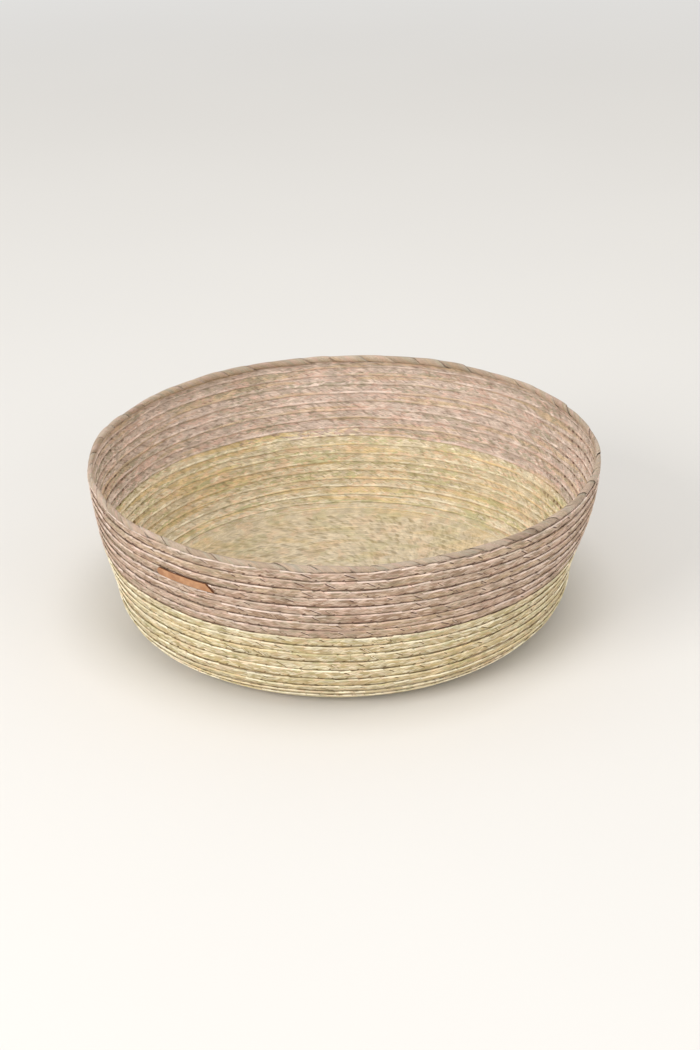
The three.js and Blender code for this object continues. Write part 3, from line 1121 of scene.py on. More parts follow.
def leaf_patches() -> bpy.types.NodeTree:
    """Makes the group for the long patches of other hues along the leaf.

    Returns:
        The group, with the tinted colour as its output.
    """
    white = (1.0, 1.0, 1.0, 1.0)
    inputs = {"Along": 0.0, "Across": 0.0, "Strand": 0.0, "Lapped": 1.0, "Colour": white}
    inputs |= dict.fromkeys(PATCHES, white) | {"Strength": 0.6}
    g = GroupGraph("Leaf patches", inputs, {"Colour": "NodeSocketColor"})
    colour, strand = g.given["Colour"], g.given["Strand"]
    x, y, _ = g.split(g.object_place())
    flat = g.math("LESS_THAN", g.given["Lapped"], 0.5)
    for index, (label, length) in enumerate(PATCHES.items()):
        across = g.pick(flat, g.over(g.given["Across"], 5.0), g.over(y, 20 * MM))
        along = g.pick(flat, g.over(g.given["Along"], length), g.over(x, 0.6 * length * MM))
        layer = g.plus(17.0 * index, g.times(strand, g.pick(flat, 1.5 * index, 0.0)))
        patch = g.step(g.cloud(along, across, layer, detail=3.0), 0.52, 0.6)
        own = g.step(g.fract(g.plus(strand, 0.37 * index)), 0.1, 0.6)
        share = g.times(g.times(patch, g.pick(0.5, 1.0, own)), g.given["Strength"])
        colour = g.tint(share, colour, g.given[label])
    g.feed(g.result["Colour"], colour)
    return g.tree


def fine_grain() -> bpy.types.NodeTree:
    """Makes the group for fine specks and pores, by place on the object.

    Returns:
        The group, with outputs Speck and Mottle.
    """
    scales = {"Speck": (2600.0, 2.0), "Mottle": (160.0, 3.0)}
    g = GroupGraph("Fine grain", {"Scale": 1.0}, dict.fromkeys(scales, "NodeSocketFloat"))
    feeds = {0: g.object_place(), "Scale": g.given["Scale"]}
    scaled = g.add("ShaderNodeVectorMath", feeds, operation="SCALE")
    for label, (scale, detail) in scales.items():
        g.feed(g.result[label], g.noise(scaled.outputs[0], scale, detail))
    return g.tree


@dataclass(frozen=True)
class NodeGroups:
    """The node groups that the finishes share.

    Attributes:
        pattern: The pattern of plaited strands.
        patches: The long patches of other hues.
        grain: Fine specks and soft blotches.
    """

    pattern: bpy.types.NodeTree
    patches: bpy.types.NodeTree
    grain: bpy.types.NodeTree


@dataclass(frozen=True)
class LeafFinish:
    """Dry palm leaf of one dye. Where a strength is a pair, it is for the base and for the wall.

    Attributes:
        name: Name of the material.
        shade: Colour of the darker strands.
        light: Colour of the lighter strands.
        lip: Colour of the smooth folded edges: paler leaf, with a painted highlight where they
            catch the light.
        deep: Colour in the gaps, and of the painted shade in crevices and slits.
        pale: Colour that the inner face fades towards.
        dull: Colour of slanting streaks of greyer leaf.
        patches: Three other hues that strands take along stretches of leaf.
        patch_strength: How strong those are.
        roughness: Its roughness.
        relief: How deep its strands stand out.
        lapped_from: Heights between which the flat base's looks become the wall's.
        inner_fade: How far the inner face fades.
        patch_share: How much of the patches' strength is left.
        streak_strength: How strong the streaks are.
        fleck_strength: How strong the flecks are.
        lip_highlight_strength: How strong the colour of the folded edges, with its painted
            highlight, is.
        half_strength: How strong that of strand ends and of gaps is.
        hole_and_shadow_strength: How strong the dark of holes, and the painted shadow of slits, is.
        outer_crevice_shade: How strong the painted shade in the crevices of the outer face is.
        inner_crevice_shade: How strong the painted shade in those of the inner face is, behind and
            in front.
        front: Places from back to front between which that changes.
    """

    name: str
    shade: Colour
    light: Colour
    lip: Colour
    deep: Colour
    pale: Colour
    dull: Colour
    patches: tuple[Colour, Colour, Colour]
    patch_strength: float = 0.42
    roughness: float = 0.7
    relief: float = 0.15 * MM
    lapped_from: tuple[float, float] = (1.6 * MM, 6 * MM)
    inner_fade: tuple[float, float] = (0.65, 0.5)
    patch_share: tuple[float, float] = (0.55, 1.0)
    streak_strength: tuple[float, float] = (0.6, 0.4)
    fleck_strength: tuple[float, float] = (0.34, 0.36)
    lip_highlight_strength: float = 0.68
    half_strength: float = 0.5
    hole_and_shadow_strength: float = 0.95
    outer_crevice_shade: float = 0.7
    inner_crevice_shade: tuple[float, float] = (0.08, 1.0)
    front: tuple[float, float] = (85 * MM, 35 * MM)

    def plaited(
        self, groups: NodeGroups, dye_line: tuple[float, float, "LeafFinish"]
    ) -> bpy.types.Material:
        """Makes the material of plaited strands.

        Args:
            groups: The shared node groups.
            dye_line: Where strands of the other dye are laid in, one by one, as the lengths in
                metres at which the first and the last strand change, and the other dye.

        Returns:
            The material.
        """
        first, last, other = dye_line
        material, g, shader = start_material(self.name)
        along, across = map_places(g)
        _, away, height = g.split(g.object_place())
        lapped = g.step(height, *self.lapped_from)
        pattern = g.group(groups.pattern, Along=along, Across=across, Lapped=lapped).outputs
        order = g.pick(0.3, pattern["Strand"], pattern["Tone"])
        if first > last:
            order = g.minus(1.0, order)
        changed = g.math("GREATER_THAN", g.step(g.times(along, MM), first, last), order)
        names = ("shade", "light", "lip", "deep", "pale", "dull")
        dye = {name: g.tint(changed, getattr(self, name), getattr(other, name)) for name in names}
        pairs = zip(PATCHES, self.patches, other.patches)
        hues = {label: g.tint(changed, own, theirs) for label, own, theirs in pairs}
        strength = g.pick(pattern["Inner"], self.patch_strength, 1.6 * self.patch_strength)
        strength = g.times(strength, g.pick(lapped, *self.patch_share))
        patched = g.group(
            groups.patches, Along=along, Across=across, Strand=pattern["Strand"], Lapped=lapped,
            Colour=self.strand_colour(g, pattern, dye, lapped), Strength=strength, **hues,
        )
        grain = g.group(groups.grain).outputs
        streak = g.times(pattern["Streak"], g.pick(lapped, *self.streak_strength))
        colour = g.tint(streak, patched.outputs["Colour"], dye["dull"])
        colour = self.weathered(g, colour, pattern["Fibre"], grain["Mottle"])
        # Painted shade in the crevices: on the inner face it fades out towards the back, on the
        # outer face it has one strength.
        inner_shade = g.pick(g.step(away, *self.front), *self.inner_crevice_shade)
        crevice = g.pick(pattern["Inner"], self.outer_crevice_shade, inner_shade)
        colour = self.darkened(g, pattern, colour, dye["deep"], lapped, crevice)
        rough = g.pick(pattern["Fibre"], self.roughness - 0.12, self.roughness + 0.12)
        rough = g.pick(pattern["Gap"], rough, 0.9)
        raised = g.plus(pattern["Rise"], g.times(pattern["Fibre"], 0.25))
        sunk = g.plus(pattern["Hole"], pattern["Slit shadow"])
        dress(g, shader, self.relief, colour, rough, g.minus(raised, sunk))
        return material

    def strand_colour(
        self, g: Graph, pattern: dict[str, Socket], dye: dict[str, Socket], lapped: object
    ) -> Socket:
        """Works out the colour of the strands and the folded edges before any patches and marks.

        Args:
            g: The graph to add to.
            pattern: The pattern's outputs.
            dye: The dye's colours by name.
            lapped: 0 on the flat base, 1 on the wall.

        Returns:
            The colour.
        """
        colour = g.tint(pattern["Tone"], dye["shade"], dye["light"])
        faded = g.times(pattern["Inner"], g.pick(lapped, *self.inner_fade))
        colour = g.tint(faded, colour, dye["pale"])
        # The folded edges on the wall take the lip colour: paler leaf, partly a painted highlight
        # where they catch the light.
        lip = g.times(g.times(pattern["Lip"], lapped), self.lip_highlight_strength)
        colour = g.tint(lip, colour, dye["lip"])
        return g.tint(g.times(pattern["Stub"], self.half_strength), colour, dye["lip"])

    def darkened(
        self,
        g: Graph,
        pattern: dict[str, Socket],
        colour: object,
        deep: object,
        lapped: object,
        crevice: object,
    ) -> Socket:
        """Adds the dark flecks, gaps and needle holes to a colour, and the painted shade of the
        crevices and slits.

        Args:
            g: The graph to add to.
            pattern: The pattern's outputs.
            colour: The colour.
            deep: Colour of the marks and of the painted shade.
            lapped: 0 on the flat base, 1 on the wall.
            crevice: How strong the painted shade in the crevices is.

        Returns:
            The colour with the marks.
        """
        fleck = g.pick(lapped, *self.fleck_strength)
        for mask, strength in (("Fleck", fleck), ("Gap", self.half_strength)):
            colour = g.tint(g.times(pattern[mask], strength), colour, deep)
        hole = self.hole_and_shadow_strength
        # Painted shade in the crevices, the dark of needle holes, and the painted shadow of slits.
        for mask, strength in (("Crevice shade", crevice), ("Hole", hole), ("Slit shadow", hole)):
            share = g.times(g.times(pattern[mask], lapped), strength)
            colour = g.tint(share, colour, deep)
        return colour

    def flat_strip(self, groups: NodeGroups, name: str) -> bpy.types.Material:
        """Makes the material of one wide strip of leaf, with its grain along the strip.

        Args:
            groups: The shared node groups.
            name: Name of the material.

        Returns:
            The material.
        """
        material, g, shader = start_material(name)
        along, across = map_places(g)
        tone = g.random(g.floor(g.plus(g.over(along, WRAP_MAP), 0.25)), 5.0)
        patched = g.group(
            groups.patches, Along=along, Across=across, Strand=tone,
            Colour=g.tint(tone, self.shade, self.light), Strength=self.patch_strength,
            **dict(zip(PATCHES, self.patches)),
        )
        veins = g.cloud(g.times(across, 2.2), g.times(along, 0.06), 1.0, detail=3.0)
        veins = g.step(veins, 0.3, 0.7)
        grain = g.group(groups.grain).outputs
        colour = self.weathered(g, patched.outputs["Colour"], veins, grain["Mottle"])
        dull = g.times(g.step(grain["Mottle"], 0.46, 0.58), g.step(grain["Speck"], 0.4, 0.6))
        colour = g.tint(g.times(dull, 0.6), colour, self.dull)
        flecks = g.step(g.cloud(g.times(along, 0.25), across, 4.0), 0.64, 0.74)
        colour = g.tint(g.times(flecks, 0.4), colour, self.deep)
        # Pieces mapped far across are the dark slivers of painted shadow beside strand ends.
        slit = g.math("GREATER_THAN", across, SLIT_SHADOW_MAP - 1)
        # Each rim wrap gets a line of painted shadow along its upper edge, and dark stitch slits
        # under the rim.
        dark = g.most(slit, self.seam_shadows_and_slits(g, along, across, tone))
        colour = g.tint(dark, colour, self.deep)
        rough = g.pick(veins, self.roughness - 0.1, self.roughness + 0.1)
        dress(g, shader, self.relief, colour, rough, g.plus(veins, g.times(grain["Speck"], 0.15)))
        return material

    @staticmethod
    def seam_shadows_and_slits(g: Graph, along: object, across: object, tone: object) -> Socket:
        """Finds the line of painted shadow along a wrap's upper edge, where it lies over the next,
        and the stitch slits under the rim.

        Args:
            g: The graph to add to.
            along: Place along the winding.
            across: Place across the strip.
            tone: Random number of the wrap.

        Returns:
            The mask.
        """
        wraps = g.over(along, WRAP_MAP)
        edge = g.step(across, RIM_SEAM + 0.55, RIM_SEAM + 0.2)
        # Noise breaks the painted seam shadow up along the rim, and only some wraps show it.
        worn = g.step(g.cloud(g.times(along, 0.3), 3.0), 0.35, 0.5)
        shown = g.step(g.random(g.floor(wraps), 6.0), 0.4, 0.6)
        seam = g.times(g.times(edge, worn), shown)
        level = g.step(g.size(g.minus(g.fract(wraps), 0.9)), 0.035, 0.015)
        dashes = g.step(g.cloud(g.times(across, 0.45), tone, 9.0), 0.5, 0.58)
        return g.most(seam, g.times(g.times(level, dashes), 0.8))

    @staticmethod
    def weathered(g: Graph, colour: object, fibre: object, mottle: object) -> Socket:
        """Adds fibre lines and soft mottling to a colour.

        Args:
            g: The graph to add to.
            colour: The colour.
            fibre: Fine lines along the strand, around one half.
            mottle: Soft blotches, around one half.

        Returns:
            The colour with both.
        """
        lines = g.plus(0.86, g.times(fibre, 0.28))
        blotches = g.pick(g.step(mottle, 0.3, 0.7), 0.86, 1.1)
        return g.scaled(colour, g.times(lines, blotches))


@dataclass(frozen=True)
class LeatherFinish:
    """Smooth tan leather with worn, darker edges.

    Attributes:
        name: Name of the material.
        tan: Colour of the face.
        light: Colour where it is rubbed.
        edge: Colour of its cut edges.
        roughness: Its roughness.
        relief: How deep its creases and pores are.
    """

    name: str
    tan: Colour
    light: Colour
    edge: Colour
    roughness: float = 0.48
    relief: float = 0.05 * MM

    def build(self, groups: NodeGroups) -> bpy.types.Material:
        """Makes the material.

        Args:
            groups: The shared node groups.

        Returns:
            The material.
        """
        material, g, shader = start_material(self.name)
        along, across = map_places(g)
        grain = g.group(groups.grain).outputs
        feeds = {"Vector": g.vector(along, across), "Scale": 3.2}
        pores = g.add("ShaderNodeTexVoronoi", feeds, feature="DISTANCE_TO_EDGE")
        creases = g.step(pores.outputs["Distance"], 0.0, 0.09)
        colour = g.tint(g.step(grain["Mottle"], 0.35, 0.7), self.tan, self.light)
        colour = g.tint(g.step(g.size(across), 2.3, 2.6), colour, self.edge)
        colour = g.scaled(colour, g.pick(creases, 0.85, 1.0))
        rough = g.pick(grain["Speck"], self.roughness - 0.1, self.roughness + 0.15)
        height = g.plus(creases, g.times(grain["Speck"], 0.4))
        dress(g, shader, self.relief, colour, rough, height)
        return material


def start_material(name: str) -> tuple[bpy.types.Material, Graph, bpy.types.Node]:
    """Makes a node material.

    Args:
        name: Its name.

    Returns:
        The material, a graph of its tree, and its shader node.
    """
    material = bpy.data.materials.new(name)
    material.use_nodes = True
    shader = material.node_tree.nodes["Principled BSDF"]
    shader.inputs["IOR"].default_value = 1.4
    return material, Graph(material.node_tree), shader


def map_places(g: Graph) -> tuple[Socket, Socket]:
    """Reads the pattern map, in millimetres along and across the leaf."""
    along, across, _ = g.split(g.add("ShaderNodeUVMap", uv_map=PLAIT_MAP).outputs["UV"])
    return along, across


def dress(g: Graph, shader: bpy.types.Node, relief: float, *looks: object) -> None:
    """Feeds a finish to the shader.

    Args:
        g: The graph to add to.
        shader: The Principled shader.
        relief: How deep a height of 1 is.
        *looks: The colour, the roughness, and the height from 0 to about 1.
    """
    colour, roughness, height = looks
    bump = g.add("ShaderNodeBump", {"Height": height, "Distance": relief}).outputs["Normal"]
    for name, value in (("Base Color", colour), ("Roughness", roughness), ("Normal", bump)):
        g.feed(shader.inputs[name], value)


def finish_piece(
    piece: bpy.types.Object, material: bpy.types.Material, slot: Slot, *nodes: str
) -> bpy.types.Object:
    """Dresses a piece and fixes it to the basket.

    Args:
        piece: The piece.
        material: Its material.
        slot: The record's slot for its finish; not used.
        *nodes: The frame's nodes that it stands for.

    Returns:
        The piece.
    """
    piece.data.materials.append(material)
    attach(piece, BODY)
    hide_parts(*nodes)
    stands_for = ", ".join(nodes) or "itself"
    LOG.info("%s: %d triangles, for %s", piece.name, len(piece.data.polygons), stands_for)
    return piece


@dataclass(frozen=True)
class Stretch:
    """A stretch of rows that one node of the frame stands for.

    Attributes:
        node: The frame's node.
        name: What its pieces' names start with.
        start: Turns at which it starts.
        end: Turns at which it ends.
        slot: Its material slot.
    """

    node: str
    name: str
    start: float
    end: float
    slot: Slot


@dataclass
class SewnPlait:
    """The plait that the base and the wall are sewn up from.

    Attributes:
        spiral: The rows.
        plait: The plait's strands.
        shape: The basket's hand-made shape.
        most_columns: Most mesh steps along one piece.
        step: Mesh step along the plait.
        row_wander: How far rows stray up and down.
        depth_wander: How far they stray in and out.
        fold_rise: How far the folded edges stand out of line where one strand follows another.
        bead: How far a folded edge stands out from the row's face.
        base_edge: Radius of the plait's edges on the base, where it lies flat.
        lapped_over: Rows past the base between which rows come to lap.
        free_over: Rows past the base between which rows become free to stray.
        least_stray: Share of the straying that is left where rows meet edge to edge.
    """

    spiral: Spiral
    plait: Plait
    shape: HandmadeShape
    most_columns: int = 3000
    step: float = 1.3 * MM
    row_wander: tuple[Wander, ...] = (Wander(47 * MM, 0.5 * MM, 21), Wander(13 * MM, 0.3 * MM, 22))
    depth_wander: tuple[Wander, ...] = (Wander(23 * MM, 0.14 * MM, 23),)
    fold_rise: float = 1.0 * MM
    bead: float = 0.2 * MM
    base_edge: float = 0.15 * MM
    lapped_over: tuple[float, float] = (-1, 5)
    free_over: tuple[float, float] = (1, 6)
    least_stray: float = 0.06

    def across_samples(self) -> np.ndarray:
        """Places across one face, between its two edges."""
        lip = np.array([0.1, 0.3, 0.55, 0.8, 1.05, 1.4]) * MM
        return np.concatenate([lip, np.linspace(2.1 * MM, self.spiral.width - 0.12 * MM, 8)])

    def lapped(self, turns: np.ndarray) -> np.ndarray:
        """How far the rows have come from lying flat on the base to lapping, from 0 to 1."""
        return smooth(self.spiral.rows_past_base(turns), *self.lapped_over)

    def free(self, turns: np.ndarray) -> np.ndarray:
        """How free the rows are to stray, from 0 where their edges meet to 1 where they lap."""
        return smooth(self.spiral.rows_past_base(turns), *self.free_over)

    def drift(self, turns: np.ndarray, length: np.ndarray) -> tuple[np.ndarray, np.ndarray]:
        """Works out how far a row strays from its place.

        Args:
            turns: Numbers of turns.
            length: Lengths of plait up to there.

        Returns:
            How far it strays up the wall, and how far inwards.
        """
        at_end = smooth(self.spiral.last_turns - turns, 0.0, 0.3)
        stray = sum(wander.at(length) for wander in self.row_wander)
        stray = stray * mix(self.least_stray, 1.0, self.free(turns)) * at_end
        inwards = sum(wander.at(length) for wander in self.depth_wander)
        return stray, inwards * self.lapped(turns)

    def thickness_line(
        self, turns: np.ndarray, share: np.ndarray
    ) -> tuple[np.ndarray, np.ndarray, np.ndarray]:
        """Works out the middle of the plait's thickness, as arc offsets and depths.

        Args:
            turns: Numbers of turns.
            share: Shares of the width, from the leading edge.

        Returns:
            The middle, the direction from it to the outer face, and half the thickness.
        """
        section = {name: value[:, None, :] for name, value in self.spiral.section(turns).items()}
        share = share[None, :, None]
        outer = mix(section["lead_outer"], section["trail_outer"], share)
        inside = mix(section["lead_inner"], section["trail_inner"], share)
        out = outer - inside
        half = np.linalg.norm(out, axis=-1) / 2
        return (outer + inside) / 2, out / np.maximum(2 * half, 1e-9)[..., None], half

    def lip_relief(self, across: np.ndarray) -> np.ndarray:
        """Works out how far the folded leading edge and the groove behind it stand out.

        Args:
            across: Distances from the leading edge.

        Returns:
            How far the face stands out there.
        """
        bead = smooth(across, 0.0, 0.3 * MM) * (1 - smooth(across, 0.5 * MM, 0.85 * MM))
        groove = smooth(across, 0.6 * MM, 0.9 * MM) * (1 - smooth(across, 1.0 * MM, 1.5 * MM))
        return self.bead * bead - 0.4 * self.bead * groove

    def fold_lift(self, turns: np.ndarray, length: np.ndarray) -> np.ndarray:
        """Works out how far the folded edge stands out of line, strand by strand.

        Args:
            turns: Numbers of turns.
            length: Lengths of plait up to there.

        Returns:
            How far the edge is moved up the wall.
        """
        folds = (length + self.plait.waves(length, self.plait.fold_waves)) / self.plait.fold_length
        random = np.random.default_rng(self.plait.seed).uniform(0, 1, 8191)
        jump = random[np.floor(folds).astype(int) % len(random)] ** 1.3
        return self.fold_rise * jump * (0.6 - folds % 1.0) * self.free(turns)

    def rings(
        self, turns: np.ndarray, column: np.ndarray
    ) -> tuple[np.ndarray, np.ndarray, np.ndarray]:
        """Works out the plait's surface.

        Args:
            turns: Numbers of turns of the rings.
            column: Their numbers along the whole plait.

        Returns:
            Points, and pattern coordinates across at the start and end of each side.
        """
        inner, width = self.across_samples(), self.spiral.width
        across = np.concatenate([[0.0], inner, [width], inner[::-1]])
        side = np.concatenate([[0.0], np.ones(len(inner)), [0.0], -np.ones(len(inner))])
        signed = np.concatenate([[0.0], inner, [width]])
        across_from = np.concatenate([signed[:-1], -signed[:0:-1]])
        across_to = np.concatenate([signed[1:], -signed[-2::-1]])
        middle, out, half = self.thickness_line(turns, across / width)
        edge = np.minimum(across, width - across)[None, :]
        lapped = self.lapped(turns)[:, None]
        rounded = mix(self.base_edge, half, lapped)
        level = half - rounded + rounded * np.sqrt(1 - (1 - np.minimum(edge / rounded, 1)) ** 2)
        relief = lapped * self.lip_relief(across)[None, :] * (side > 0)
        points = middle + out * ((level + relief) * side[None, :])[..., None]
        length = column * self.step
        stray, proud = self.drift(turns, length)
        near_lip = 1 - smooth(across, 0.0, 2.2 * MM)
        lifted = self.fold_lift(turns, length)
        along = points[..., 0] + stray[:, None] + lifted[:, None] * near_lip[None, :]
        placed = self.spiral.place(turns[:, None], along, points[..., 1] + proud[:, None])
        return self.shape.settle(placed), across_from / MM, across_to / MM

    def build(self, stretch: Stretch, material: bpy.types.Material) -> list[bpy.types.Object]:
        """Makes the pieces of a stretch of rows.

        Args:
            stretch: The stretch.
            material: Its material.

        Returns:
            Its pieces.
        """
        turns, lengths = self.spiral.length_table()
        limits = (stretch.start, stretch.end)
        first, last = (math.ceil(np.interp(at, turns, lengths) / self.step) for at in limits)
        last = min(last, math.floor(lengths[-1] / self.step))
        count = math.ceil((last - first) / self.most_columns)
        ends = np.linspace(first, last, count + 1).round().astype(int)
        pieces = []
        for number, (start, end) in enumerate(zip(ends[:-1], ends[1:]), 1):
            column = np.arange(start, end + 1)
            at = np.interp(column * self.step, lengths, turns)
            points, across_from, across_to = self.rings(at, column)
            skin = Skin(points, across_from, across_to, column * self.step / MM, folds=12)
            piece = skin.build(f"{stretch.name}_{number}")
            pieces.append(finish_piece(piece, material, stretch.slot, stretch.node))
        return pieces


@dataclass
class CentreFold:
    """The plait's start, folded in and sewn flat, which closes the middle of the base.

    Attributes:
        spiral: The rows.
        shape: The basket's hand-made shape.
        steps: Points round it.
        clear: Gap to the first row.
        profile: Its section, as shares of its radius and of the plait's thickness.
    """

    spiral: Spiral
    shape: HandmadeShape
    steps: int = 72
    clear: float = 0.03 * MM
    profile: tuple[tuple[float, float], ...] = (
        (0.03, 0.86), (0.3, 0.9), (0.6, 0.9), (0.9, 0.88), (1.0, 0.8), (1.0, 0.12), (0.9, 0.05),
        (0.5, 0.04), (0.03, 0.04),
    )

    def build(self, material: bpy.types.Material) -> bpy.types.Object:
        """Makes the fold, which fills the space inside the first row.

        Args:
            material: Its material.

        Returns:
            The piece.
        """
        turns = np.linspace(0.01, 0.99, self.steps)
        radius = self.spiral.arc_at(turns) - self.spiral.row_half - self.clear
        azimuth = self.spiral.azimuth_at(turns)
        share, level = np.array(self.profile).T[..., None]
        height = np.broadcast_to(level * self.spiral.thickness, (len(share), self.steps))
        out = share * radius
        rings = np.stack([out * np.cos(azimuth), out * np.sin(azimuth), height], -1)
        places = -1.5 - 4 * np.arange(self.steps) / self.steps
        along = np.linspace(0, 12, len(share))
        skin = Skin(self.shape.settle(rings), places, np.roll(places, -1), along)
        return finish_piece(skin.build("centre_fold"), material, Slot.NATURAL)


@dataclass
class BoundRim:
    """The rim: a bundle of leaf, and the wide strips wound slantwise round it.

    Attributes:
        shape: The basket's hand-made shape.
        radius: Radius of the middle of the rim.
        level: Height of its middle.
        height: Its height.
        width: Its width.
        wraps: How many wraps go round.
        nodes: The frame's nodes of the strips.
        overlap: How far each wrap lies over the next.
        thickness: Thickness of the strip.
        tuck: How many wraps each strip runs on under the next one.
        slips: How far the wraps stray along the rim, by wraps.
        puffs: How far they stand off the bundle.
        squareness: Power of the sine and cosine of its section; a round one has 1.
        rings_per_wrap: Mesh steps along a strip in one wrap.
        points_across: Points across a strip.
    """

    shape: HandmadeShape
    radius: float
    level: float
    height: float = 3.8 * MM
    width: float = 2.8 * MM
    wraps: int = 51
    nodes: tuple[str, ...] = ("rim_strip_1", "rim_strip_2", "rim_strip_3")
    overlap: float = 3.2 * MM
    thickness: float = 0.24 * MM
    tuck: float = 0.35
    slips: tuple[Wander, ...] = (Wander(1.7, 2.0 * MM, 31), Wander(0.6, 0.5 * MM, 32))
    puffs: tuple[Wander, ...] = (Wander(0.9, 0.36 * MM, 33), Wander(0.31, 0.2 * MM, 34))
    squareness: float = 0.85
    rings_per_wrap: int = 28
    points_across: int = 11

    def points_at(self, azimuth: np.ndarray, out: np.ndarray, up: np.ndarray) -> np.ndarray:
        """Finds points round the middle of the rim, on the hand-made shape.

        Args:
            azimuth: Azimuths.
            out: How far outwards from the middle.
            up: How far up from it.

        Returns:
            Points, with the last axis x, y and z.
        """
        radius = self.radius + out
        points = [radius * np.cos(azimuth), radius * np.sin(azimuth), self.level + up]
        return self.shape.settle(np.stack(points, -1))

    def build_bundle(self, material: bpy.types.Material) -> bpy.types.Object:
        """Makes the bundle of leaf inside the binding.

        Args:
            material: Its material.

        Returns:
            The piece.
        """
        sides, steps, lobes, twists, map_width = 42, 720, 7, 9, 10
        turn = np.arange(sides) * TAU / sides
        azimuth = np.arange(steps) * TAU / steps
        swell = 1 + 0.08 * np.cos(lobes * turn[None, :] + azimuth[:, None] * twists)
        inset = self.thickness + 0.5 * MM
        out = (self.width / 2 - inset) * swell * np.cos(turn)[None, :]
        up = (self.height / 2 - inset) * swell * np.sin(turn)[None, :]
        points = self.points_at(azimuth[:, None], out, up)
        edges = np.arange(sides) / sides * map_width
        along = azimuth * self.radius / MM
        skin = Skin(points, edges, edges + map_width / sides, along, loop=True, folds=8)
        return finish_piece(skin.build("rim_bundle"), material, Slot.ROSE, "rim_core")

    def strip_points(self, turn: np.ndarray, across: np.ndarray, lift: np.ndarray) -> np.ndarray:
        """Finds points on the wound strip.

        Args:
            turn: Turns round the bundle since the first strip's start; they rise as the azimuth
                falls.
            across: Offsets along the rim from the middle of the strip.
            lift: Heights over the bundle's surface.

        Returns:
            Points, with the last axis x, y and z.
        """
        slip = sum(wander.at(turn) for wander in self.slips)
        azimuth = -turn * (TAU / self.wraps) + (across + slip) / self.radius
        puff = sum(wander.at(turn) for wander in self.puffs)
        angle = turn * TAU
        right, rise = (
            np.sign(part) * np.abs(part) ** self.squareness
            for part in (np.cos(angle), np.sin(angle))
        )
        out = (self.width / 2 - self.thickness + lift + puff) * right
        up = (self.height / 2 - self.thickness + lift + puff) * rise
        return self.points_at(azimuth, out, up)

    def build_strip(self, index: int, material: bpy.types.Material) -> bpy.types.Object:
        """Makes one leaf strip, wound over a third of the rim.

        Args:
            index: Which strip, from 0.
            material: Its material.

        Returns:
            The piece.
        """
        share = self.wraps / len(self.nodes)
        steps = int(share * self.rings_per_wrap)
        turn = np.linspace(index * share, (index + 1) * share + self.tuck, steps)[:, None]
        half = (TAU * self.radius / self.wraps + self.overlap) / 2
        edge = np.linspace(-1, 1, self.points_across)[None, :]
        fray = Wander(0.23, 0.35 * MM, 41 + index).at(turn)
        over = smooth(-edge, -0.9, 0.9) * (self.thickness * 1.15)
        belly = 0.08 * MM * (1 - edge**2)
        rounded = np.sqrt(np.maximum(0.0, 1 - np.abs(edge) ** 8))
        across = edge * (half + fray * np.sign(edge))
        top = self.strip_points(turn, across, over + belly + self.thickness / 2 * rounded)
        under = self.strip_points(turn, across, over + belly - self.thickness / 2 * rounded)
        rings = np.concatenate([top, under[:, -2:0:-1]], 1)
        spread = np.linspace(-half, half, self.points_across) / MM
        places = np.concatenate([spread, spread[-2:0:-1]])
        length = turn[:, 0] * WRAP_MAP
        skin = Skin(rings, places, np.roll(places, -1), length, folds=5)
        piece = skin.build(f"rim_binding_{index + 1}")
        return finish_piece(piece, material, Slot.RIM, self.nodes[index])


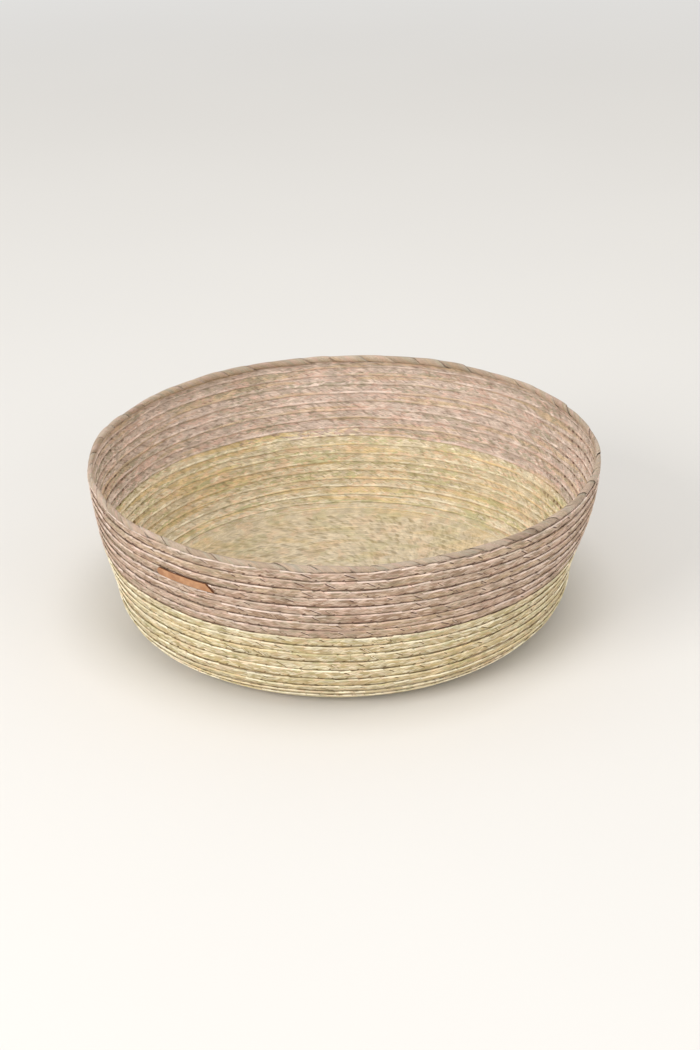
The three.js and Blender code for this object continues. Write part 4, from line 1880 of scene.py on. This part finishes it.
@dataclass
class StripEnds:
    """Ends of leaf strands that stand out where a new strand was laid into the plait.

    Attributes:
        sewn: The sewn plait that they stand out from.
        count: How many places have them.
        seed: Seed of the random places.
        shown: Places listed, as azimuth in degrees and row from the top.
        slant: Angle between an end and the row.
        up: How far the middle of an end lies above the middle of the row.
        thickness: Thickness of an end.
        steps: Mesh steps along an end.
        apart: From one end to the next at the same place, along the row.
        shadow_apart: From an end to the dark sliver of painted shadow beside it.
        shadow_width: Width of that sliver.
    """

    sewn: SewnPlait
    count: int = 18
    seed: int = 77
    shown: tuple[tuple[float, int], ...] = (
        (-114.4, 0), (-82.8, 1), (-86.1, 2), (-69.8, 2), (-59.6, 3), (-66.7, 3), (-106.4, 5),
        (-65.3, 7), (-86.1, 9), (-93.1, 11), (-128.0, 9), (-52.0, 10),
    )
    slant: float = math.radians(40)
    up: float = 0.4 * MM
    thickness: float = 0.3 * MM
    steps: int = 6
    apart: float = 1.55 * MM
    shadow_apart: float = 0.75 * MM
    shadow_width: float = 0.5 * MM

    def one_end(
        self, turns: float, offset: float, length: float, width: float, clear: np.ndarray
    ) -> np.ndarray:
        """Works out the rings of one strand end, which slants down the row's face.

        Args:
            turns: Where its middle is.
            offset: How far it is moved along the row.
            length: Its length.
            width: Its width.
            clear: Heights over the face, of its middle at each ring.

        Returns:
            Rings of points.
        """
        share = np.linspace(0, 1, len(clear))[:, None]
        edge = np.array([-1, -0.6, 0.6, 1, 0.6, -0.6]) * width / 2
        height = np.array([0, 0.5, 0.5, 0, -0.5, -0.5]) * self.thickness
        down = (share - 0.5) * length
        beside = edge[None, :] * mix(1.0, 0.6, share**3)
        right = offset + down * math.cos(self.slant) + beside * math.sin(self.slant)
        up = self.up - down * math.sin(self.slant) + beside * math.cos(self.slant)
        spiral = self.sewn.spiral
        at = spiral.beside(np.full_like(right, turns), right)
        stray, inwards = self.sewn.drift(at, np.interp(at, *spiral.length_table()))
        depth = spiral.face_depth(up, clear[:, None] + height[None, :]) + inwards
        return spiral.place(at, up + stray, depth)

    def middles(self, first: float, last: float, random: np.random.Generator) -> list[float]:
        """Picks the places on a stretch of rows.

        Args:
            first: Turns at which the stretch starts.
            last: Turns at which it ends.
            random: Source of the random places.

        Returns:
            The places, as numbers of turns.
        """
        spiral = self.sewn.spiral
        places = list(random.uniform(first, last, self.count))
        for degrees, row in self.shown:
            phase = spiral.phase_at(math.radians(degrees))
            turns = math.floor(spiral.taper_start) - row + phase
            if first <= turns <= last:
                places.append(turns)
        return places

    def build(
        self, first: float, last: float, name: str, material: bpy.types.Material, slot: Slot
    ) -> bpy.types.Object:
        """Makes the strand ends on a stretch of rows, as one piece.

        Args:
            first: Turns at which the stretch starts.
            last: Turns at which it ends.
            name: Name of the piece.
            material: Its material.
            slot: Its material slot.

        Returns:
            The piece.
        """
        random = np.random.default_rng(self.seed + round(first))
        parts = Parts()
        share = np.linspace(0, 1, self.steps)
        on_face = np.full(self.steps, 0.03 * MM)
        for turns in self.middles(first, last, random):
            for number in range(int(random.integers(1, 3))):
                offset, length = number * self.apart, random.uniform(3.4, 5.0) * MM
                clear = 0.05 * MM + random.uniform(0.1, 0.5) * MM * share**2
                width = random.uniform(0.8, 1.1) * MM
                strand = self.one_end(turns, offset, length, width, clear)
                # Beside each end lies a dark sliver, painted shadow of the raised end.
                shadow_at = offset - self.shadow_apart
                slit = self.one_end(turns, shadow_at, 0.9 * length, self.shadow_width, on_face)
                parts.add(strand, random.uniform(0, 900), 0.0)
                parts.add(slit, 0.0, SLIT_SHADOW_MAP)
        return finish_piece(parts.build(name, self.sewn.shape), material, slot)


@dataclass
class LeatherTag:
    """The tag: a short leather strap over one row, round at one end and cut aslant at the other.

    Attributes:
        spiral: The rows.
        shape: The basket's hand-made shape.
        length: Its length.
        width: Its width.
        thickness: Its thickness.
        slant: How far the cut end leans.
        rise: How far its lower side lies above the leading edge of the row below.
        azimuth: Azimuth of its middle.
        height: Height of its middle.
        seat: Gap to the row's leading edge.
        lean_length: How far from the cut end its stations start to lean.
        bevel: Radius of its worn edges.
        wave: How far it is bent in and out along its length.
    """

    spiral: Spiral
    shape: HandmadeShape
    length: float = 39 * MM
    width: float = 5.2 * MM
    thickness: float = 1.2 * MM
    slant: float = 4.5 * MM
    rise: float = 1.6 * MM
    azimuth: float = math.radians(-126.5)
    height: float = 76.5 * MM
    seat: float = 0.1 * MM
    lean_length: float = 14 * MM
    bevel: float = 0.32 * MM
    wave: Wander = Wander(9 * MM, 0.1 * MM, 61)

    def turns(self) -> float:
        """Finds the middle of the tag.

        Returns:
            Turns at which it lies.
        """
        spiral = self.spiral
        phase = spiral.phase_at(self.azimuth)
        arc = spiral.outline.arc_at_height(self.height)
        return round((arc - spiral.start_arc) / spiral.pitch - phase) + phase

    def build(self, material: bpy.types.Material) -> bpy.types.Object:
        """Makes the tag.

        Args:
            material: Its material.

        Returns:
            The piece.
        """
        half = self.width / 2
        middle = self.spiral.reach - self.spiral.pitch + self.rise + half
        ends = np.sin(np.linspace(0.02, 1, 12) * math.pi / 2)
        round_part = half * (1 - np.sqrt(1 - ends**2)) - self.length / 2
        straight = np.linspace(half, self.length - self.slant, 60)[1:] - self.length / 2
        stations = np.concatenate([round_part, straight])
        reach = np.concatenate([half * ends, np.full(len(straight), half)])
        level = np.linspace(-1, 1, 13)
        cut = self.length / 2 - self.slant
        lean = smooth(stations, cut - self.lean_length, cut)
        across = reach[:, None] * level[None, :]
        right = stations[:, None] + lean[:, None] * self.slant * (1 - level[None, :]) / 2
        from_edge = reach[:, None] * (1 - np.abs(level))[None, :]
        worn = 1 - np.minimum(from_edge / self.bevel, 1)
        drop = self.bevel * (1 - np.sqrt(1 - worn**2))
        wave = self.wave.at(right)
        turns = self.spiral.beside(np.full_like(right, self.turns()), right)
        top = self.spiral.place(turns, middle + across, drop - wave - self.seat - self.thickness)
        under = self.spiral.place(turns, middle + across, -drop - wave - self.seat)
        rings = np.concatenate([top, under[:, ::-1]], 1)
        places = np.concatenate([half * level, half * level[::-1]]) / MM
        skin = Skin(self.shape.settle(rings), places, np.roll(places, -1), stations / MM)
        return finish_piece(skin.build("tag_strap"), material, Slot.LEATHER, "leather_tag")


BACKGROUND = leaf_colour(240, 240, 240)
BACKGROUND_STRENGTH = 0.95


@dataclass(frozen=True)
class Lamp:
    """A soft square lamp.

    Attributes:
        name: Its name.
        place: Where it stands.
        size: Length of its sides.
        power: Its power in watts.
    """

    name: str
    place: tuple[float, float, float]
    size: float
    power: float


@dataclass(frozen=True)
class Studio:
    """Plain pale floor, soft light, and a camera at the photograph's angle.

    Attributes:
        distance: From the camera to its target.
        elevation: Of the camera over the target.
        target_height: Height of the target over the floor.
        lens: Focal length, for a frame 36 mm wide.
        roll: Turn of the camera about its view.
        shift: Sideways shift of the frame.
        floor_half: Half the length of the floor's sides.
        floor_fade: Distances between which the floor turns into the background.
        lamps: The lamps, which all face the basket.
        even_light: Strength of the light from all round.
    """

    distance: float = 1.289
    elevation: float = math.radians(26.07)
    target_height: float = 49.8 * MM
    lens: float = 111.5
    roll: float = math.radians(-1.29)
    shift: float = 0.0067
    floor_half: float = 20.0
    floor_fade: tuple[float, float] = (1.0, 2.4)
    lamps: tuple[Lamp, ...] = (
        Lamp("key_lamp", (-1.7, -1.5, 1.2), 1.3, 36),
        Lamp("fill_lamp", (1.6, -1.5, 0.9), 1.4, 12),
        Lamp("top_lamp", (0.15, -0.3, 2.4), 1.0, 16),
    )
    even_light: float = 0.8

    def build_camera(self) -> None:
        """Makes the scene's camera."""
        data = bpy.data.cameras.new("camera")
        data.sensor_fit = "HORIZONTAL"
        data.sensor_width = 36
        data.lens = self.lens
        data.shift_x = self.shift
        data.clip_start, data.clip_end = 0.05, 50
        camera = bpy.data.objects.new("camera", data)
        back = Vector((0, -math.cos(self.elevation), math.sin(self.elevation)))
        camera.location = Vector((0, 0, self.target_height)) + back * self.distance
        look = (-back).to_track_quat("-Z", "Y").to_matrix()
        camera.rotation_euler = (look @ Matrix.Rotation(self.roll, 3, "Z")).to_euler()
        bpy.context.scene.collection.objects.link(camera)
        bpy.context.scene.camera = camera

    def build_floor(self) -> None:
        """Makes the pale floor."""
        half = self.floor_half
        corners = np.array([[-half, -half, 0], [half, -half, 0], [half, half, 0], [-half, half, 0]])
        floor = add_mesh("floor", corners, np.array([[0, 1, 2], [0, 2, 3]]))
        material, g, shader = start_material("pale floor")
        place = g.object_place()
        distance = g.add("ShaderNodeVectorMath", {0: place}, operation="LENGTH")
        far = g.step(distance.outputs["Value"], *self.floor_fade)
        shades = leaf_colour(222, 219, 214), leaf_colour(226, 223, 218)
        near_colour = g.tint(g.noise(place, 3.0, 2.0), *shades)
        feeds = {
            "Base Color": g.tint(far, near_colour, (0.0, 0.0, 0.0, 1.0)),
            "Specular IOR Level": 0.0,
            "Emission Color": BACKGROUND,
            "Emission Strength": g.times(far, BACKGROUND_STRENGTH),
            "Roughness": 0.9,
        }
        for name, value in feeds.items():
            g.feed(shader.inputs[name], value)
        floor.data.materials.append(material)

    def build_lamp(self, lamp: Lamp) -> None:
        """Makes one soft lamp that faces the basket.

        Args:
            lamp: The lamp.
        """
        data = bpy.data.lights.new(lamp.name, "AREA")
        data.size = lamp.size
        data.energy = lamp.power
        light = bpy.data.objects.new(lamp.name, data)
        light.location = lamp.place
        aim = Vector((0, 0, self.target_height)) - Vector(lamp.place)
        light.rotation_euler = aim.to_track_quat("-Z", "Y").to_euler()
        bpy.context.scene.collection.objects.link(light)

    def build_world(self) -> None:
        """Makes the even light from all round, with a pale background for the camera."""
        world = bpy.data.worlds.new("studio")
        world.use_nodes = True
        bpy.context.scene.world = world
        g = Graph(world.node_tree)
        background = world.node_tree.nodes["Background"]
        rays = g.add("ShaderNodeLightPath").outputs
        mirrored = g.most(rays["Is Glossy Ray"], rays["Is Transmission Ray"])
        seen = g.most(rays["Is Camera Ray"], mirrored)
        g.feed(background.inputs["Color"], BACKGROUND)
        strength = g.pick(seen, self.even_light, BACKGROUND_STRENGTH)
        g.feed(background.inputs["Strength"], strength)

    def build(self) -> None:
        """Makes the camera, floor and lights."""
        self.build_camera()
        self.build_floor()
        for lamp in self.lamps:
            self.build_lamp(lamp)
        self.build_world()
        bpy.context.scene.view_settings.view_transform = "Standard"


NATURAL_LEAF = LeafFinish(
    name="natural palm leaf",
    shade=leaf_colour(192, 174, 130),
    light=leaf_colour(240, 229, 199),
    lip=leaf_colour(248, 239, 212),
    deep=leaf_colour(112, 88, 50),
    pale=leaf_colour(228, 212, 186),
    dull=leaf_colour(180, 160, 116),
    patches=(leaf_colour(226, 194, 130), leaf_colour(186, 182, 130), leaf_colour(230, 194, 160)),
)
ROSE_LEAF = LeafFinish(
    name="rose palm leaf",
    shade=leaf_colour(166, 137, 113),
    light=leaf_colour(218, 194, 173),
    lip=leaf_colour(236, 217, 205),
    deep=leaf_colour(92, 64, 50),
    pale=leaf_colour(224, 207, 196),
    dull=leaf_colour(150, 132, 108),
    patches=(leaf_colour(204, 176, 134), leaf_colour(160, 152, 126), leaf_colour(214, 176, 158)),
)
RIM_LEAF = LeafFinish(
    name="wide rim leaf",
    shade=leaf_colour(170, 147, 125),
    light=leaf_colour(206, 186, 166),
    lip=leaf_colour(222, 205, 192),
    deep=leaf_colour(70, 50, 38),
    pale=leaf_colour(210, 192, 174),
    dull=leaf_colour(150, 132, 108),
    patches=(leaf_colour(198, 172, 142), leaf_colour(172, 166, 146), leaf_colour(206, 172, 156)),
    patch_strength=0.6,
    relief=0.16 * MM,
)
TAN_LEATHER = LeatherFinish(
    name="tan leather",
    tan=leaf_colour(174, 122, 84),
    light=leaf_colour(202, 152, 110),
    edge=leaf_colour(110, 68, 42),
)


def main() -> None:
    """Builds the basket, piece by piece, and the studio round it."""
    logging.basicConfig(level=logging.INFO, format="%(message)s")
    Studio().build()
    outline = Outline()
    spiral = Spiral(outline)
    shape = HandmadeShape(CAD_BOX[1].z)
    plait = Plait()
    groups = NodeGroups(PlaitPattern(plait, spiral.width).tree, leaf_patches(), fine_grain())
    base_end = spiral.whole_turns_to(outline.flat_radius)
    corner_end = spiral.whole_turns_to(outline.wall_arc)
    colour_line = spiral.whole_turns_to(outline.arc_at_height(COLOUR_LINE_HEIGHT))
    wall_end = spiral.last_turns
    sewn = SewnPlait(spiral, plait, shape)
    splice = float(np.interp(colour_line, *spiral.length_table()))
    start, end = splice - SPLICE_HALF, splice + SPLICE_HALF
    natural = NATURAL_LEAF.plaited(groups, (start, end, ROSE_LEAF))
    rose = ROSE_LEAF.plaited(groups, (end, start, NATURAL_LEAF))
    stretches = (
        Stretch("base_braid", "base_plait", 0, base_end, Slot.NATURAL),
        Stretch("corner_braid", "corner_plait", base_end, corner_end, Slot.NATURAL),
        Stretch("lower_wall_braid", "lower_wall_plait", corner_end, colour_line, Slot.NATURAL),
        Stretch("upper_wall_braid", "upper_wall_plait", colour_line, wall_end, Slot.ROSE),
    )
    for stretch in stretches:
        sewn.build(stretch, rose if stretch.slot is Slot.ROSE else natural)
    CentreFold(spiral, shape).build(natural)
    rim = BoundRim(shape, CAD_BOX[1].x - RIM_IN, CAD_BOX[1].z - RIM_DOWN)
    rim.build_bundle(ROSE_LEAF.flat_strip(groups, "rose leaf bundle"))
    rim_material = RIM_LEAF.flat_strip(groups, "wide rim leaf")
    for index in range(len(rim.nodes)):
        rim.build_strip(index, rim_material)
    ends = StripEnds(sewn)
    leaf = ROSE_LEAF.flat_strip(groups, "rose strand")
    ends.build(colour_line, wall_end - ENDS_BELOW, "rose_strand_ends", leaf, Slot.ROSE)
    leaf = NATURAL_LEAF.flat_strip(groups, "natural strand")
    ends.build(ENDS_FROM, colour_line, "natural_strand_ends", leaf, Slot.NATURAL)
    LeatherTag(spiral, shape).build(TAN_LEATHER.build(groups))


if __name__ == "__main__":
    main()
